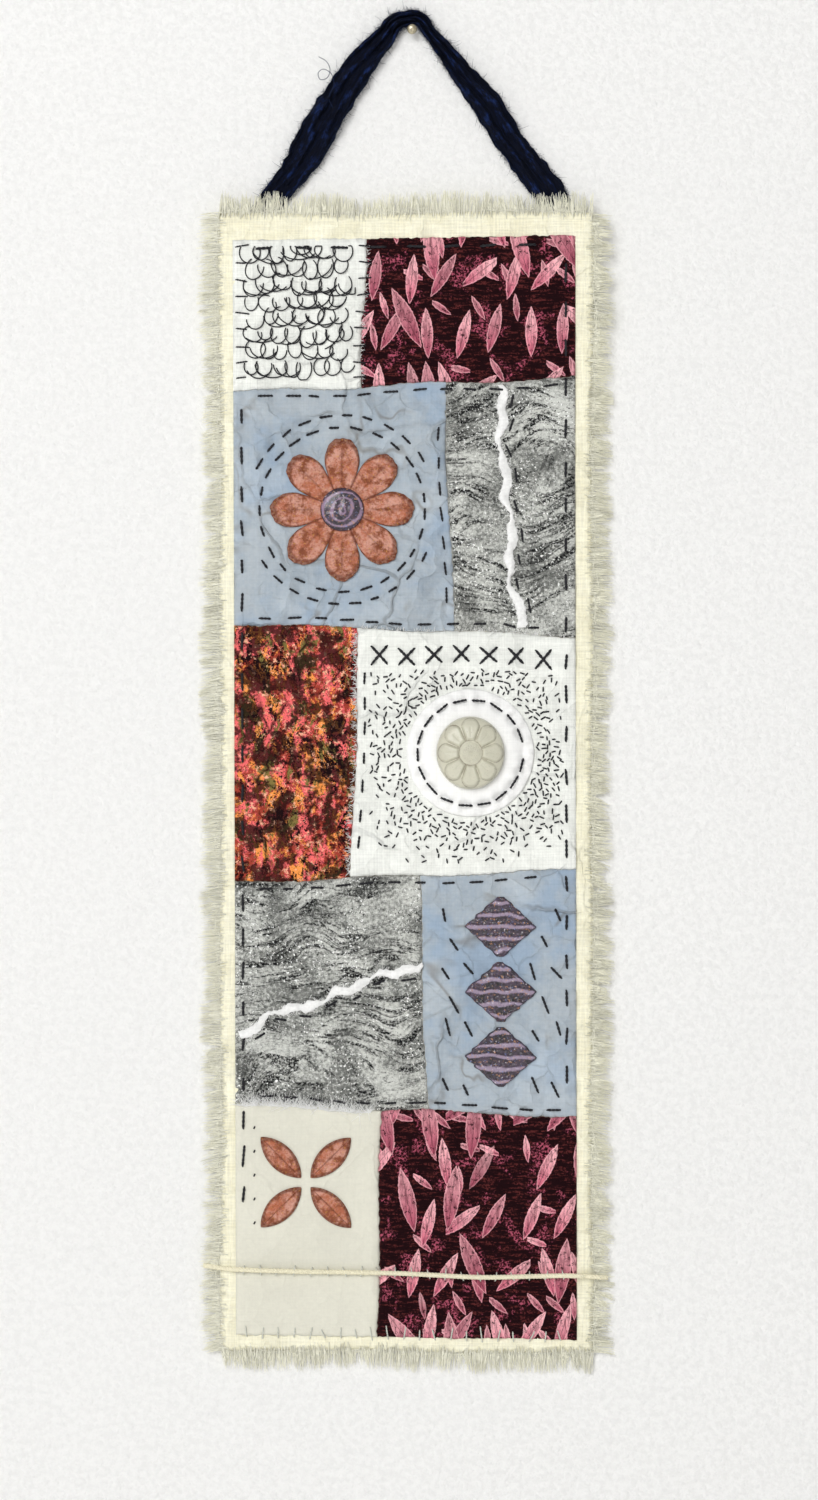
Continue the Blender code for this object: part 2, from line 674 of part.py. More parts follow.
def nail():
    """Round-headed nail that leans down a little to its head. Its rear end is cut flush with the wall."""
    way = Vector((0, -math.cos(NAIL_DROOP), -math.sin(NAIL_DROOP)))
    upward = Vector((0, -math.sin(NAIL_DROOP), math.cos(NAIL_DROOP)))
    mesh = bmesh.new()
    rings = []
    for distance, radius in NAIL_PROFILE:
        ring = []
        for k in range(NAIL_SIDES):
            angle = TAU * k / NAIL_SIDES
            spot = Vector((radius * math.cos(angle), 0, 0)) + upward * radius * math.sin(angle)
            if distance == 0:
                spot -= way * (spot.y / way.y)
            ring.append(mesh.verts.new(spot + way * distance))
        rings.append(ring)
    for first, second in zip(rings, rings[1:]):
        wall_in(mesh, first, second)
    rear = rings[0]
    third = NAIL_SIDES // 3
    mesh.faces.new((rear[0], rear[third], rear[2 * third]))
    for k in range(3):
        mesh.faces.new([rear[(k * third + n) % NAIL_SIDES] for n in range(third + 1)])
    mesh.faces.new(rings[-1])
    return finish("nail", mesh, material("brass-washed steel", (0.55, 0.50, 0.36), 0.4, 0.9))


def main():
    clear_scene()
    nail()
    hanger_ribbon()
    backing_cloth()
    fringes()
    for row in range(len(PATCH_ROWS)):
        for on_right in (False, True):
            patch(row, on_right)
    white = material("torn white cloth", (0.86, 0.86, 0.82), 0.95)
    for name, (start, end, width) in TORN_EDGES.items():
        torn_edge(name, start, end, width, white)
    flower()
    padded_round()
    cabochon()
    peels()
    lozenges()
    couched_cord()


main()
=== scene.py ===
"""Art quilt, dressed: the cloth, print, sewing, cord, button, ribbon and nail of a small wall hanging.

Metres, +Z up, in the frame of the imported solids: the origin is where the nail enters the wall, the wall is
the plane y = 0 and the front faces -Y. "Off" is a distance off the wall, towards -Y. Places on the panel are
u across from its left edge and v up from its foot.
"""

import json
import math

import bpy
import numpy as np
from bpy.props import FloatProperty, FloatVectorProperty, IntProperty, PointerProperty
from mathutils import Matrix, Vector
from mathutils.bvhtree import BVHTree
from numpy import arange, clip, cos, linspace, maximum, minimum, sin
from numpy.random import default_rng

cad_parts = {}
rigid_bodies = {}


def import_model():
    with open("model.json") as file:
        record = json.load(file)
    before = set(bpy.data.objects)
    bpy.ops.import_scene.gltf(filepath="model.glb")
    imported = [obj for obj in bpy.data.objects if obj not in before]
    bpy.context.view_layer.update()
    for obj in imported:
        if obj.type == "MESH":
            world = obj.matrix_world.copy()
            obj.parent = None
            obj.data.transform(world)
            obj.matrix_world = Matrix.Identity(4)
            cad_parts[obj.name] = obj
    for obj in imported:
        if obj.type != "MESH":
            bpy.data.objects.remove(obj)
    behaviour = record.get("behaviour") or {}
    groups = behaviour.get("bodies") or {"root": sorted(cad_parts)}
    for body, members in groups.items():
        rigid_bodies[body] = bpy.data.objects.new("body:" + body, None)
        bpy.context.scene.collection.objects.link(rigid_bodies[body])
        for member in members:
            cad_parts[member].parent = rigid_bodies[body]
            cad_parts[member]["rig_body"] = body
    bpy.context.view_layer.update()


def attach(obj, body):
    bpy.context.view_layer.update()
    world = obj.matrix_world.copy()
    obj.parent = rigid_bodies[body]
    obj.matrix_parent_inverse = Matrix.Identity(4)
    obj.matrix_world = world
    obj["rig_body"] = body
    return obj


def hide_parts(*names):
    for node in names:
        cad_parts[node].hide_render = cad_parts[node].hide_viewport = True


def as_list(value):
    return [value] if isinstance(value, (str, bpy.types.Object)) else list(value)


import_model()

bl_info = {
    "name": "Art Quilt Dressing",
    "version": (1, 0, 0),
    "blender": (4, 5, 0),
    "location": "3D View > Sidebar > Art Quilt",
    "description": "Dresses the solids of a hanging art quilt in cloth, thread, cord, ceramic and steel",
    "category": "Object",
}

TAU = 2 * math.pi
# The view: height of wall in it, its middle (x, z), the camera's distance from the wall and from the cloth
VIEW_HEIGHT = 0.5538
VIEW_MIDDLE = (-0.0011, -0.2669)
VIEW_DISTANCE = 1.303
LENS_DISTANCE = 1.3
# Lights: place, size across and power
LIGHTS = {
    "key light": ((-0.8, -2.3, 0.6), 1.2, 40.5),
    "fill light": ((0.8, -2.3, -1.4), 1.5, 43),
    "back light": ((0.3, 1.5, 0.3), 1.2, 10),
}
ROOM_GLOW = 0.33
STAGE = {"half": 2.2, "wall_y": 0.0003, "wall_top": 1.1, "floor_z": -0.8, "floor_reach": 2.4}

# Outline of the woven cloth between its fringes, corners (x, z), and how its cut edges wander
CLOTH_CORNERS = {
    "low_left": (-0.0705, -0.4885), "low_right": (0.0668, -0.4899),
    "top_left": (-0.0713, -0.069), "top_right": (0.0668, -0.0683),
}
CLOTH_WIDE = CLOTH_CORNERS["top_right"][0] - CLOTH_CORNERS["top_left"][0]
CLOTH_TALL = CLOTH_CORNERS["top_left"][1] - CLOTH_CORNERS["low_left"][1]
EDGE_WANDER = (0.0004, 3.4, 1.5)
FRINGE_REACH = 0.0072
# Lanes of loose thread along the cloth's edges, by their distance out
SELVEDGE_LANES = (0.0002, 0.0007, 0.0012)

# Panel and its seams
PANEL_WIDTH = 0.126
PANEL_HEIGHT = 0.406
PANEL_CORNERS = {
    "low_left": (-0.065, -0.4829), "low_right": (0.0609, -0.4848),
    "top_left": (-0.0661, -0.079), "top_right": (0.0602, -0.0772),
}
SEAM_WANDER = (0.0006, 0.061, 2.3)
SEAM_GAP = 0.00035
PATCH_GAP = 7e-5
# Raggedness of a raw edge: depth, length and reach inwards
RAW_EDGE = (0.00022, 0.0034, 0.0008)
# The least that a loose thread stands off the wall
WALL_ROOM = 0.0003
# Rows of patches from the foot up: left and right piece, height of the top seam at the left and right, and
# where the upright seam stands at its foot and head
PATCH_ROWS = [
    ("cream", "maroon", 0.086, 0.082, 0.052, 0.054),
    ("grey_low", "blue_low", 0.168, 0.173, 0.071, 0.068),
    ("rust", "muslin", 0.264, 0.259, 0.043, 0.046),
    ("blue_high", "grey_high", 0.35, 0.354, 0.081, 0.078),
    ("white_top", "berry_top", PANEL_HEIGHT, PANEL_HEIGHT, 0.047, 0.049),
]
PATCH_CLOTH = {
    "cream": "plain_cream_cloth", "maroon": "maroon_print", "grey_low": "grey_print",
    "blue_low": "blue_cloth", "rust": "rust_print", "muslin": "white_muslin", "blue_high": "blue_cloth",
    "grey_high": "grey_print", "white_top": "white_muslin", "berry_top": "maroon_print",
}
# By cloth: depth of its crumples, and depth and length of its fine creases
CLOTH_CREASES = {
    "plain_cream_cloth": (0.0002, 0.0001, 0.03), "maroon_print": (0.0002, 8e-5, 0.03),
    "rust_print": (0.0002, 8e-5, 0.03), "grey_print": (0.0003, 0.0001, 0.03),
    "blue_cloth": (0.0007, 0.0005, 0.024), "white_muslin": (0.0004, 0.0005, 0.028),
}
OWN_CREASES = {"white_top": (0.0004, 0.00036, 0.026)}
# Crumples: share, length across, length up, turn, and the shares of a patch over which they die out
CRUMPLES = [(0.36, 0.047, 0.031, 0), (0.36, 0.036, -0.052, 0.7), (0.28, 0.09, 0.026, 2)]
CRUMPLE_RIM = (0.14, 0.12)

# Hang of the cloth off the wall
WAVE_REST = 0.00025
WAVES = [(0.00055, 0.19, 0.31, 0.4), (0.0004, -0.12, 0.17, 2.1), (0.00022, 0.085, -0.095, 1)]
OVER_RIBBON = 0.003
LIFT_FOOT, LIFT_HEAD = -0.15, -0.092
# Puckers of the side borders: depth, pitch, reach inwards, and how far and over what length they drift
PUCKERS = (0.0006, 0.015, 0.0062, 1.6, 0.11)

# Layers on the hang of the cloth: back and front of each, and the front at a raw rim
BACKING = (0.0006, 0.00175, 0.00095)
PATCH = (0.00185, 0.0029, 0.00225)
APPLIED = (0.00302, 0.00385, 0.00345)
RIM = 0.0022

# Applied shapes
FLOWER = {"middle": (0.04, 0.306), "radius": 0.0265, "petals": 8, "notch": 0.5}
CENTRE = {"radius": 0.008, "back": 0.004, "dome": 0.0017}
PAD = {"middle": (0.087, 0.216), "radius": 0.0235, "flat": 0.62, "crown": 0.00625, "under_button": 0.0058}
PAD_RING = 0.83
CABOCHON = {"half_width": 0.0125, "half_height": 0.0134, "back": 0.0064, "wall": 0.0019, "dome": 0.0037}
DAISY = {"petals": 8, "relief": 0.0009, "eye": 0.0006, "inner": 0.35, "outer": 0.95, "eye_rim": 0.3}
PEELS = {"middle": (0.026, 0.057), "count": 4, "half_length": 0.0105, "half_width": 0.0046, "inner": 0.0025}
PEEL_POINT = 0.7
LOZENGES = {"u": 0.098, "v": (0.104, 0.128, 0.152), "half_width": 0.0135, "half_height": 0.011, "ridges": 5}
LOZENGE_TIP = 0.0012
# Torn edges: from (u, v) to (u, v) and width, with the share of that width that scene.py's strip keeps
TORN_EDGES = {
    "torn_edge_high": ((0.1045, 0.262), (0.0975, 0.3515), 0.0058),
    "torn_edge_low": ((0.001, 0.113), (0.069, 0.139), 0.0054),
}
TORN_SHARE = 0.52
# Waves along a torn edge (depth, turns, start): its sway, its swell and its sharp bends
TORN_SWAY = [(0.001, 2.3, 1), (0.0005, 5.1, 0)]
TORN_SWELL = [(0.0009, 3.7, 0), (0.0006, 7.3, 2)]
TORN_BENDS = [(0.0007, 3.3, 0.5), (0.0004, 8.2, 2)]
# Where the patches lie still: (u, v, radius), the soft edge of such places, and the cord's stretch of v
QUIET = [
    (*FLOWER["middle"], 0.028),
    (*PAD["middle"], 0.025),
    (*PEELS["middle"], 0.026),
    *((LOZENGES["u"], v, 0.016) for v in LOZENGES["v"]),
]
QUIET_EDGE = 0.012
QUIET_CORD = (0.012, 0.036)

# Cord across the foot of the panel: x, z in millimetres
CORD_RADIUS = 0.00095
CORD_ROUTE = [
    (-76.8, -457.2), (-73.5, -457.4), (-66.1, -458.2), (-39.5, -459.2), (-5.5, -459.9),
    (24, -461.3), (45, -461), (58, -460.8), (69, -461.5), (72.2, -461.9),
]
CORD_STEP = (-0.0035, -0.0005)
CORD_DIP = (0.0012, 0.0042)
CORD_DIP_DEPTH = 0.0016
# Width of the fringe that lies low under the cord
CORD_SPACE = 0.0072

# Nail: droop towards its head, and distance from the wall and radius along it in millimetres
NAIL_DROOP = math.radians(13)
NAIL_PROFILE = [
    (0, 0.8), (4.4, 0.8), (4.6, 0.95), (4.7, 1.5), (5, 1.76),
    (5.4, 1.8), (5.8, 1.6), (6.1, 1.15), (6.3, 0.5), (6.33, 0),
]

# Ribbon from end to end: x, z, width, thickness and middle off the wall, in millimetres
RIBBON = [
    (-60.5, -86.5, 9.5, 2, 1.4), (-58.5, -78, 9.8, 2.1, 1.4),
    (-55.3, -69.7, 9.5, 2.2, 1.5), (-50.4, -61.7, 9.2, 2.2, 1.5),
    (-43.9, -53.9, 10.5, 2.7, 2), (-38.8, -46.2, 12.7, 3, 2.6),
    (-33.7, -36.6, 13.1, 3.2, 3.2), (-27.7, -27, 12, 3.2, 3.5),
    (-18.1, -12.9, 10.5, 3.2, 3.3), (-10.6, -4.1, 7.8, 3.4, 2.9),
    (-6.1, 1.7, 6.4, 3.6, 2.5), (-0.6, 3.6, 5.8, 3.8, 2.3),
    (3.6, 2.6, 5, 3.8, 2.3), (6.4, -1.8, 4.6, 3.6, 2.4),
    (11.4, -7.8, 6.2, 3.4, 2.7), (17.5, -15.9, 7.9, 3.2, 3.1),
    (28.1, -29.2, 10.9, 3.2, 3.4), (36.9, -43.2, 10.4, 3, 2.7),
    (43.9, -52.1, 11, 2.7, 2), (50.6, -60.6, 11.6, 2.2, 1.5),
    (55.3, -69, 10.8, 2.2, 1.5), (58, -77.5, 10.4, 2.1, 1.4),
    (59.2, -86.5, 9.8, 2, 1.4),
]
RIBBON_SHEET = 0.00035
# Folds of the ribbon: share of the height, folds across, and a wave of drift (depth, length, turn)
RIBBON_FOLDS = [(0.7, 1.15, 0.3, 0.11, 1), (0.3, 2.4, 0.22, 0.046, 0)]
# The curled thread come loose from the left leg: x, z, off in millimetres
LOOSE_THREAD = [
    (-29.2, -30, 4), (-30.6, -26.2, 4.5), (-28.8, -21.8, 5.2), (-29.6, -17.8, 5),
    (-32.6, -15.8, 4.4), (-34.6, -17.2, 4), (-33.8, -19.6, 4.2), (-31.2, -19, 4.8),
    (-30.2, -16, 5.2), (-31.6, -13, 5), (-34.5, -11.2, 4.4),
]

# A stitch is this much longer than what shows of it, as both ends dive into the cloth
STITCH_DIVE = 1.22
# How a stitch's ends draw the cloth in: depth and spread
DIMPLE = (0.00022, 0.0015)
# Insets of the running stitches from the panel's left, right and top
SIDE_INSETS = (0.003, 0.0036, 0.0034)
# Stitches beside the level and upright seams: row and inset
LEVEL_SEWING = ((0, 0.0026), (1, -0.0026), (2, 0.0026), (3, -0.0026))
UPRIGHT_SEWING = ((2, 0.0028), (3, -0.0028))
# Stretch (u, v) of the white top patch that the loops keep to
LOOP_ROOM = ((0.0024, 0.045), (0.354, 0.4032))

# Raw edge of the white cloths
WHITE_RAW = (0.9, 0.9, 0.88)


def smooth(low, high, value):
    """0 at low, 1 at high, and an even curve between them."""
    t = clip((np.asarray(value, float) - low) / (high - low), 0, 1)
    return t * t * (3 - 2 * t)


def mix(a, b, t):
    return a + (b - a) * t


def hump(value, width):
    """1 at nothing, and less on both sides over a width."""
    return np.exp(-(value / width) ** 2)


def ripple(x, z, length, seed, count=12):
    """A smooth random field of about -1 to 1, with swells of about a length."""
    rng = default_rng(seed)
    total = np.zeros(np.broadcast(x, z).shape)
    for heading, phase, stretch in zip(*rng.uniform((0, 0, 0.6), (TAU, TAU, 1.5), (count, 3)).T):
        total += sin(TAU / length * stretch * (x * math.cos(heading) + z * math.sin(heading)) + phase)
    return total / count ** 0.5


def fold_lines(x, z, length, seed):
    """Sharp creases where a random field passes through nothing."""
    return hump(ripple(x, z, length, seed), 0.28)


def within(corners, s, t):
    """The place (x, z) at share s across and t up the four corners."""
    return tuple(mix(mix(a, b, s), mix(c, d, s), t) for a, b, c, d in zip(*corners.values()))


def on_panel(u, v):
    return within(PANEL_CORNERS, np.asarray(u) / PANEL_WIDTH, np.asarray(v) / PANEL_HEIGHT)


def on_cloth(s, t):
    """Place on the backing cloth, whose cut edges wander a little."""
    x, z = within(CLOTH_CORNERS, s, t)
    depth, upright, level = EDGE_WANDER
    return (x + depth * sin(TAU * upright * t + 0.5) * (2 * s - 1),
            z + depth * sin(TAU * level * s + 1.2) * (2 * t - 1))


def waves(table, t, shape=sin):
    return sum(depth * shape(TAU * turns * t + turn) for depth, turns, turn in table)


def on_torn_edge(row, t, across=0.0, beyond=0.0):
    """Place (u, v) at share t along a torn edge, -1 to 1 across it and a distance beyond that."""
    (u0, v0), (u1, v1), width = row
    bends = waves(TORN_BENDS, t, lambda angle: np.arcsin(sin(angle)))
    half = TORN_SHARE * (width / 2 + waves(TORN_SWELL, t))
    aside = (waves(TORN_SWAY, t) + bends + across * half + beyond) / math.hypot(u1 - u0, v1 - v0)
    return mix(u0, u1, t) + (v1 - v0) * aside, mix(v0, v1, t) - (u1 - u0) * aside


def inward(corners, x):
    """How far in a place is from the nearer side."""
    return minimum(x - corners["low_left"][0], corners["low_right"][0] - x)


def hang(x, z):
    """How far the back of the cloth stands off the wall."""
    wave = WAVE_REST
    for depth, across, down, turn in WAVES:
        wave = wave + depth * sin(TAU * (x / across + z / down) + turn)
    depth, pitch, reach, drift, drift_length = PUCKERS
    angle = TAU * z / pitch + drift * sin(TAU * z / drift_length)
    pucker = depth * (0.5 + 0.5 * sin(angle)) * (1 - smooth(0, reach, inward(CLOTH_CORNERS, x)))
    return maximum(wave, 0) + pucker + OVER_RIBBON * smooth(LIFT_FOOT, LIFT_HEAD, z)


def stillness(u, v):
    """0 where the patches lie flat under something applied, 1 in the open."""
    away = [np.hypot(u - middle_u, v - middle_v) - radius for middle_u, middle_v, radius in QUIET]
    away.append(maximum(QUIET_CORD[0] - v, v - QUIET_CORD[1]))
    for (u0, v0), (u1, v1), width in TORN_EDGES.values():
        run_u, run_v = u1 - u0, v1 - v0
        along = clip(((u - u0) * run_u + (v - v0) * run_v) / (run_u ** 2 + run_v ** 2), 0, 1)
        away.append(np.hypot(u - u0 - along * run_u, v - v0 - along * run_v) - 1.4 * width)
    return smooth(0, QUIET_EDGE, minimum.reduce(away))


def seam_height(row, u):
    """Height of the seam on top of a row. Row -1 is the foot of the panel."""
    if row < 0:
        return 0 * u
    left, right = PATCH_ROWS[row][2:4]
    depth, length, turn = SEAM_WANDER
    wander = depth * sin(TAU * u / length + turn * row) if row < len(PATCH_ROWS) - 1 else 0
    return mix(left, right, u / PANEL_WIDTH) + wander


def split(row, t):
    """Where the upright seam of a row stands, at a share t of its height."""
    foot, head = PATCH_ROWS[row][4:6]
    return mix(foot, head, t) + SEAM_WANDER[0] * sin(TAU * t + SEAM_WANDER[2] * row)


def beside_split(row, t, inset=0.0):
    """Places beside the upright seam of a row."""
    u = split(row, t) + inset
    return u, mix(seam_height(row - 1, u), seam_height(row, u), t)


def patch_place(row, on_right, s, t):
    """Place (u, v) on a patch at share s across and t up. Both sides of a seam wander together."""
    low = split(row, t) + PATCH_GAP if on_right else 0 * t
    high = PANEL_WIDTH + 0 * t if on_right else split(row, t) - PATCH_GAP
    u = mix(low, high, s)
    v = mix(seam_height(row - 1, u) + PATCH_GAP, seam_height(row, u) - PATCH_GAP, t)
    depth, length, reach = RAW_EDGE
    seam_u = depth * ripple(0.02 * row, v, length, 30 + row, 20)
    seam_v = depth * ripple(u, 0.3 * np.round(t + row), length, 29, 20)
    beside = u - split(row, t)
    return (u + seam_u * hump(beside, reach) * (np.abs(beside) < 0.003),
            v + seam_v * hump(minimum(t, 1 - t) * 0.09, reach))


def from_rim(s, t, wide, tall):
    """Distance from the nearest edge of a sheet."""
    return minimum(minimum(s, 1 - s) * wide, minimum(t, 1 - t) * tall)


def dimples(x, z, stitches):
    """How far the ends of the stitches draw the cloth in."""
    depth, spread = DIMPLE
    drawn = np.zeros(x.shape)
    ends = np.reshape(stitches, (-1, 2))
    for end_x, end_z in zip(*on_panel(ends[:, 0], ends[:, 1])):
        near = (np.abs(x - end_x) < 2.6 * spread) & (np.abs(z - end_z) < 2.6 * spread)
        if near.any():
            drawn[near] += hump(np.hypot(x[near] - end_x, z[near] - end_z), spread)
    return depth * minimum(drawn, 1.2)


def curve_through(points, steps):
    """A smooth curve in metres through rows in millimetres, with steps points to a stretch."""
    rows = np.array(points) / 1000
    rows = np.vstack([2 * rows[0] - rows[1], rows, 2 * rows[-1] - rows[-2]])
    made = []
    for a, b, c, d in zip(rows, rows[1:], rows[2:], rows[3:]):
        for t in arange(steps) / steps:
            made.append(0.5 * (2 * b + (c - a) * t + (2 * a - 5 * b + 4 * c - d) * t ** 2
                               + (3 * b - a - 3 * c + d) * t ** 3))
    return np.array(made + [rows[-2]])


def lengths_along(path):
    """Distance of each point of a path from its start."""
    return np.concatenate([[0], np.cumsum(np.hypot(*np.diff(path, axis=0).T))])


# Meshes


def add_object(name, data, material=None):
    data.name = name
    if material:
        data.materials.append(material)
    made = bpy.data.objects.new(name, data)
    bpy.context.scene.collection.objects.link(made)
    return made


def mesh_of(points, faces, edges=(), **attributes):
    """A mesh with an attribute of numbers or vectors for each keyword."""
    mesh = bpy.data.meshes.new("mesh")
    mesh.from_pydata(np.asarray(points, float).tolist(), list(edges), list(faces))
    for name, values in attributes.items():
        values = np.asarray(values, np.float32)
        kind, field = ("FLOAT", "value") if values.ndim == 1 else ("FLOAT_VECTOR", "vector")
        mesh.attributes.new(name, kind, "POINT").data.foreach_set(field, values.ravel())
    if mesh.polygons:
        mesh.shade_smooth()
    mesh.update()
    return mesh


def chain(start, end):
    """Edges from each point to the next."""
    return [(k, k + 1) for k in range(start, end - 1)]


def squares(index, beside=None):
    """Faces between the rows of an index, to the next column or to what is beside it."""
    if beside is None:
        index, beside = index[:, :-1], index[:, 1:]
    return np.stack([index[:-1], index[1:], beside[1:], beside[:-1]], -1).reshape(-1, 4)


def closed_sheet(front, back, **attributes):
    """A closed sheet from two grids of points, joined round their rims."""
    count = front.shape[0] * front.shape[1]
    index = arange(count).reshape(front.shape[:2])
    face = squares(index)[:, [0, 3, 2, 1]]
    rim = np.concatenate([index[0, :-1], index[:-1, -1], index[-1, :0:-1], index[:0:-1, 0]])
    beside = np.roll(rim, -1)
    wall = np.stack([beside, rim, rim + count, beside + count], 1)
    faces = np.concatenate([face, face[:, ::-1] + count, wall])
    points = np.concatenate([front.reshape(-1, 3), back.reshape(-1, 3)])
    doubled = {name: np.tile(np.ravel(values), 2) for name, values in attributes.items()}
    return mesh_of(points, faces.tolist(), **doubled)


def closed_disc(front, back, **attributes):
    """A closed round piece from two grids of points, rings by spokes. The first ring is a point."""
    rings, spokes = front.shape[:2]
    index = 1 + arange((rings - 1) * spokes).reshape(-1, spokes)
    beside = np.roll(index, -1, 1)
    count = index.size + 1
    fan = np.stack([0 * index[0], index[0], beside[0]], 1)
    quads = squares(index, beside)
    wall = np.stack([beside[-1], index[-1], index[-1] + count, beside[-1] + count], 1)
    faces = []
    for part in (fan, quads, fan[:, ::-1] + count, quads[:, ::-1] + count, wall):
        faces += part.tolist()

    def listed(grid):
        return np.concatenate([grid[:1, 0], grid[1:].reshape(-1, *grid.shape[2:])])
    doubled = {name: np.tile(listed(values), 2) for name, values in attributes.items()}
    return mesh_of(np.concatenate([listed(front), listed(back)]), faces, **doubled)


def stack(x, off, z):
    """Points from places and a distance off the wall."""
    return np.stack(np.broadcast_arrays(x, -off, z), -1)


def even(size, cell):
    """Shares from 0 to 1 whose steps are about a cell of a size."""
    return linspace(0, 1, max(round(size / cell), 2) + 1)


class Front:
    """The front of what has been made."""

    def __init__(self, objects):
        points, faces = [], []
        for thing in objects:
            start = len(points)
            points += [v.co for v in thing.data.vertices]
            faces += [[start + k for k in face.vertices] for face in thing.data.polygons]
        self.tree = BVHTree.FromPolygons(points, faces)

    def at(self, x, z):
        """The point on the front at (x, z)."""
        hit = self.tree.ray_cast((x, -1, z), (0, 1, 0))[0]
        return hit or Vector((x, -float(hang(x, z)), z))

    def on(self, u, v):
        """The point on the front at a place on the panel."""
        return self.at(*map(float, on_panel(u, v)))


# Node trees

def signed(operation, turned=False):
    """What a sign between values does: it adds its maths node. A vector times a number is scaled."""
    def reckon(self, other):
        a, b = (other, self) if turned else (self, other)
        if not (self.wide or isinstance(other, tuple) or getattr(other, "wide", False)):
            return self.net.math(operation, a, b)
        if operation == "MULTIPLY":
            return self.net.add("VectorMath", {0: self, 3: other}, operation="SCALE")
        return self.net.vector(operation, a, b)
    return reckon


class Value:
    """A node's output, to reckon with as with a number."""

    def __init__(self, net, socket):
        self.net, self.socket = net, socket
        self.wide = socket.type in ("VECTOR", "RGBA")

    def other(self, name):
        """Another output of the same node."""
        return Value(self.net, self.socket.node.outputs[name])

    __add__, __radd__ = signed("ADD"), signed("ADD", True)
    __sub__, __rsub__ = signed("SUBTRACT"), signed("SUBTRACT", True)
    __mul__, __rmul__ = signed("MULTIPLY"), signed("MULTIPLY")
    __truediv__, __rtruediv__ = signed("DIVIDE"), signed("DIVIDE", True)

    def __abs__(self):
        return self.net.math("ABSOLUTE", self)


class Net:
    """Adds nodes to a tree."""

    def __init__(self, tree):
        self.tree = tree

    def add(self, kind, values=None, out=0, **settings):
        """A node of a kind named without its ShaderNode, GeometryNode or FunctionNode."""
        kinds = (family + "Node" + kind for family in ("Shader", "Geometry", "Function"))
        node = self.tree.nodes.new(next(name for name in kinds if hasattr(bpy.types, name)))
        for name, value in settings.items():
            setattr(node, name, value)
        for key, value in (values or {}).items():
            self.feed(node.inputs[key], value)
        return Value(self, node.outputs[out])

    def feed(self, socket, value):
        if isinstance(value, Value):
            self.tree.links.new(value.socket, socket)
        else:
            socket.default_value = (*value, 1) if socket.type == "RGBA" else value

    def math(self, operation, a, b=0.0):
        return self.add("Math", {0: a, 1: b}, operation=operation)

    def vector(self, operation, a, b=(0, 0, 0), out=0):
        return self.add("VectorMath", {0: a, 1: b}, out=out, operation=operation)

    def ramp(self, value, low, high, start=0.0, end=1.0):
        """start below low, end above high, and an even curve between them."""
        return self.add("MapRange", {0: value, 1: low, 2: high, 3: start, 4: end},
                        interpolation_type="SMOOTHSTEP")

    def noise(self, place, scale, detail=2.0, roughness=0.5, distortion=0.0, out=0):
        values = {"Vector": place, "Scale": scale, "Detail": detail, "Roughness": roughness}
        return self.add("TexNoise", {**values, "Distortion": distortion}, out=out)

    def spots(self, place, scale, low, high, detail=2.0, roughness=0.5):
        """Where noise rises from low to high."""
        return self.ramp(self.noise(place, scale, detail, roughness), low, high)

    def shake(self, place, scale, detail=2.0):
        """A small random vector at each place."""
        return self.noise(place, scale, detail, out=1) - (0.5, 0.5, 0.5)

    def blend(self, factor, a, b, way="MIX"):
        return self.add("Mix", {0: factor, 6: a, 7: b}, out=2, data_type="RGBA", blend_type=way)

    def parts(self, vector):
        x = self.add("SeparateXYZ", {0: vector})
        return x, x.other(1), x.other(2)

    def joined(self, x, y, z=0.0):
        return self.add("CombineXYZ", {0: x, 1: y, 2: z})

    def stretched(self, place, across, up, turn=0.0):
        """A flat place turned and then stretched, for streaks."""
        return self.add("Mapping", {"Vector": place, "Rotation": (0, 0, turn), "Scale": (across, up, 1)})

    def attribute(self, name):
        return self.add("Attribute", out="Fac", attribute_name=name)

    def place(self):
        return self.add("TexCoord", out="Object")

    def flat_place(self):
        """Object coordinates laid flat."""
        x, _, z = self.parts(self.place())
        return self.joined(x, z)

    def group(self, ask, **values):
        """What a node group gives: one value, or a list where it has more outputs."""
        node = self.add("Group", values, node_tree=ask()).socket.node
        made = [Value(self, socket) for socket in node.outputs]
        return made if len(made) > 1 else made[0]


def node_group(name, outputs=("Geometry",), **inputs):
    """Turns a function that fills a node group into one that gives the group, made once. An
    input is its default number or the kind of its socket. The first is a geometry or a place."""
    kind, first = ("Geometry", "Geometry") if outputs[0] == "Geometry" else ("Shader", "Vector")

    def wrap(fill):
        def ask():
            group = bpy.data.node_groups.get(name)
            if group:
                return group
            group = bpy.data.node_groups.new(name, kind + "NodeTree")

            def add_socket(label, sort, way):
                return group.interface.new_socket(label, in_out=way, socket_type="NodeSocket" + sort)
            for label, default in {first: first, **inputs}.items():
                sort = default if isinstance(default, str) else type(default).__name__.capitalize()
                socket = add_socket(label, sort, "INPUT")
                if sort != default:
                    socket.default_value = default
            for label in outputs:
                add_socket(label, "Geometry" if label == "Geometry" else "Float", "OUTPUT")
            net = Net(group)
            given = group.nodes.new("NodeGroupInput").outputs
            made = fill(net, *(Value(net, socket) for socket in given if socket.name))
            result = group.nodes.new("NodeGroupOutput").inputs
            for socket, value in zip(result, made if isinstance(made, tuple) else (made,)):
                net.feed(socket, value)
            return group
        return ask
    return wrap


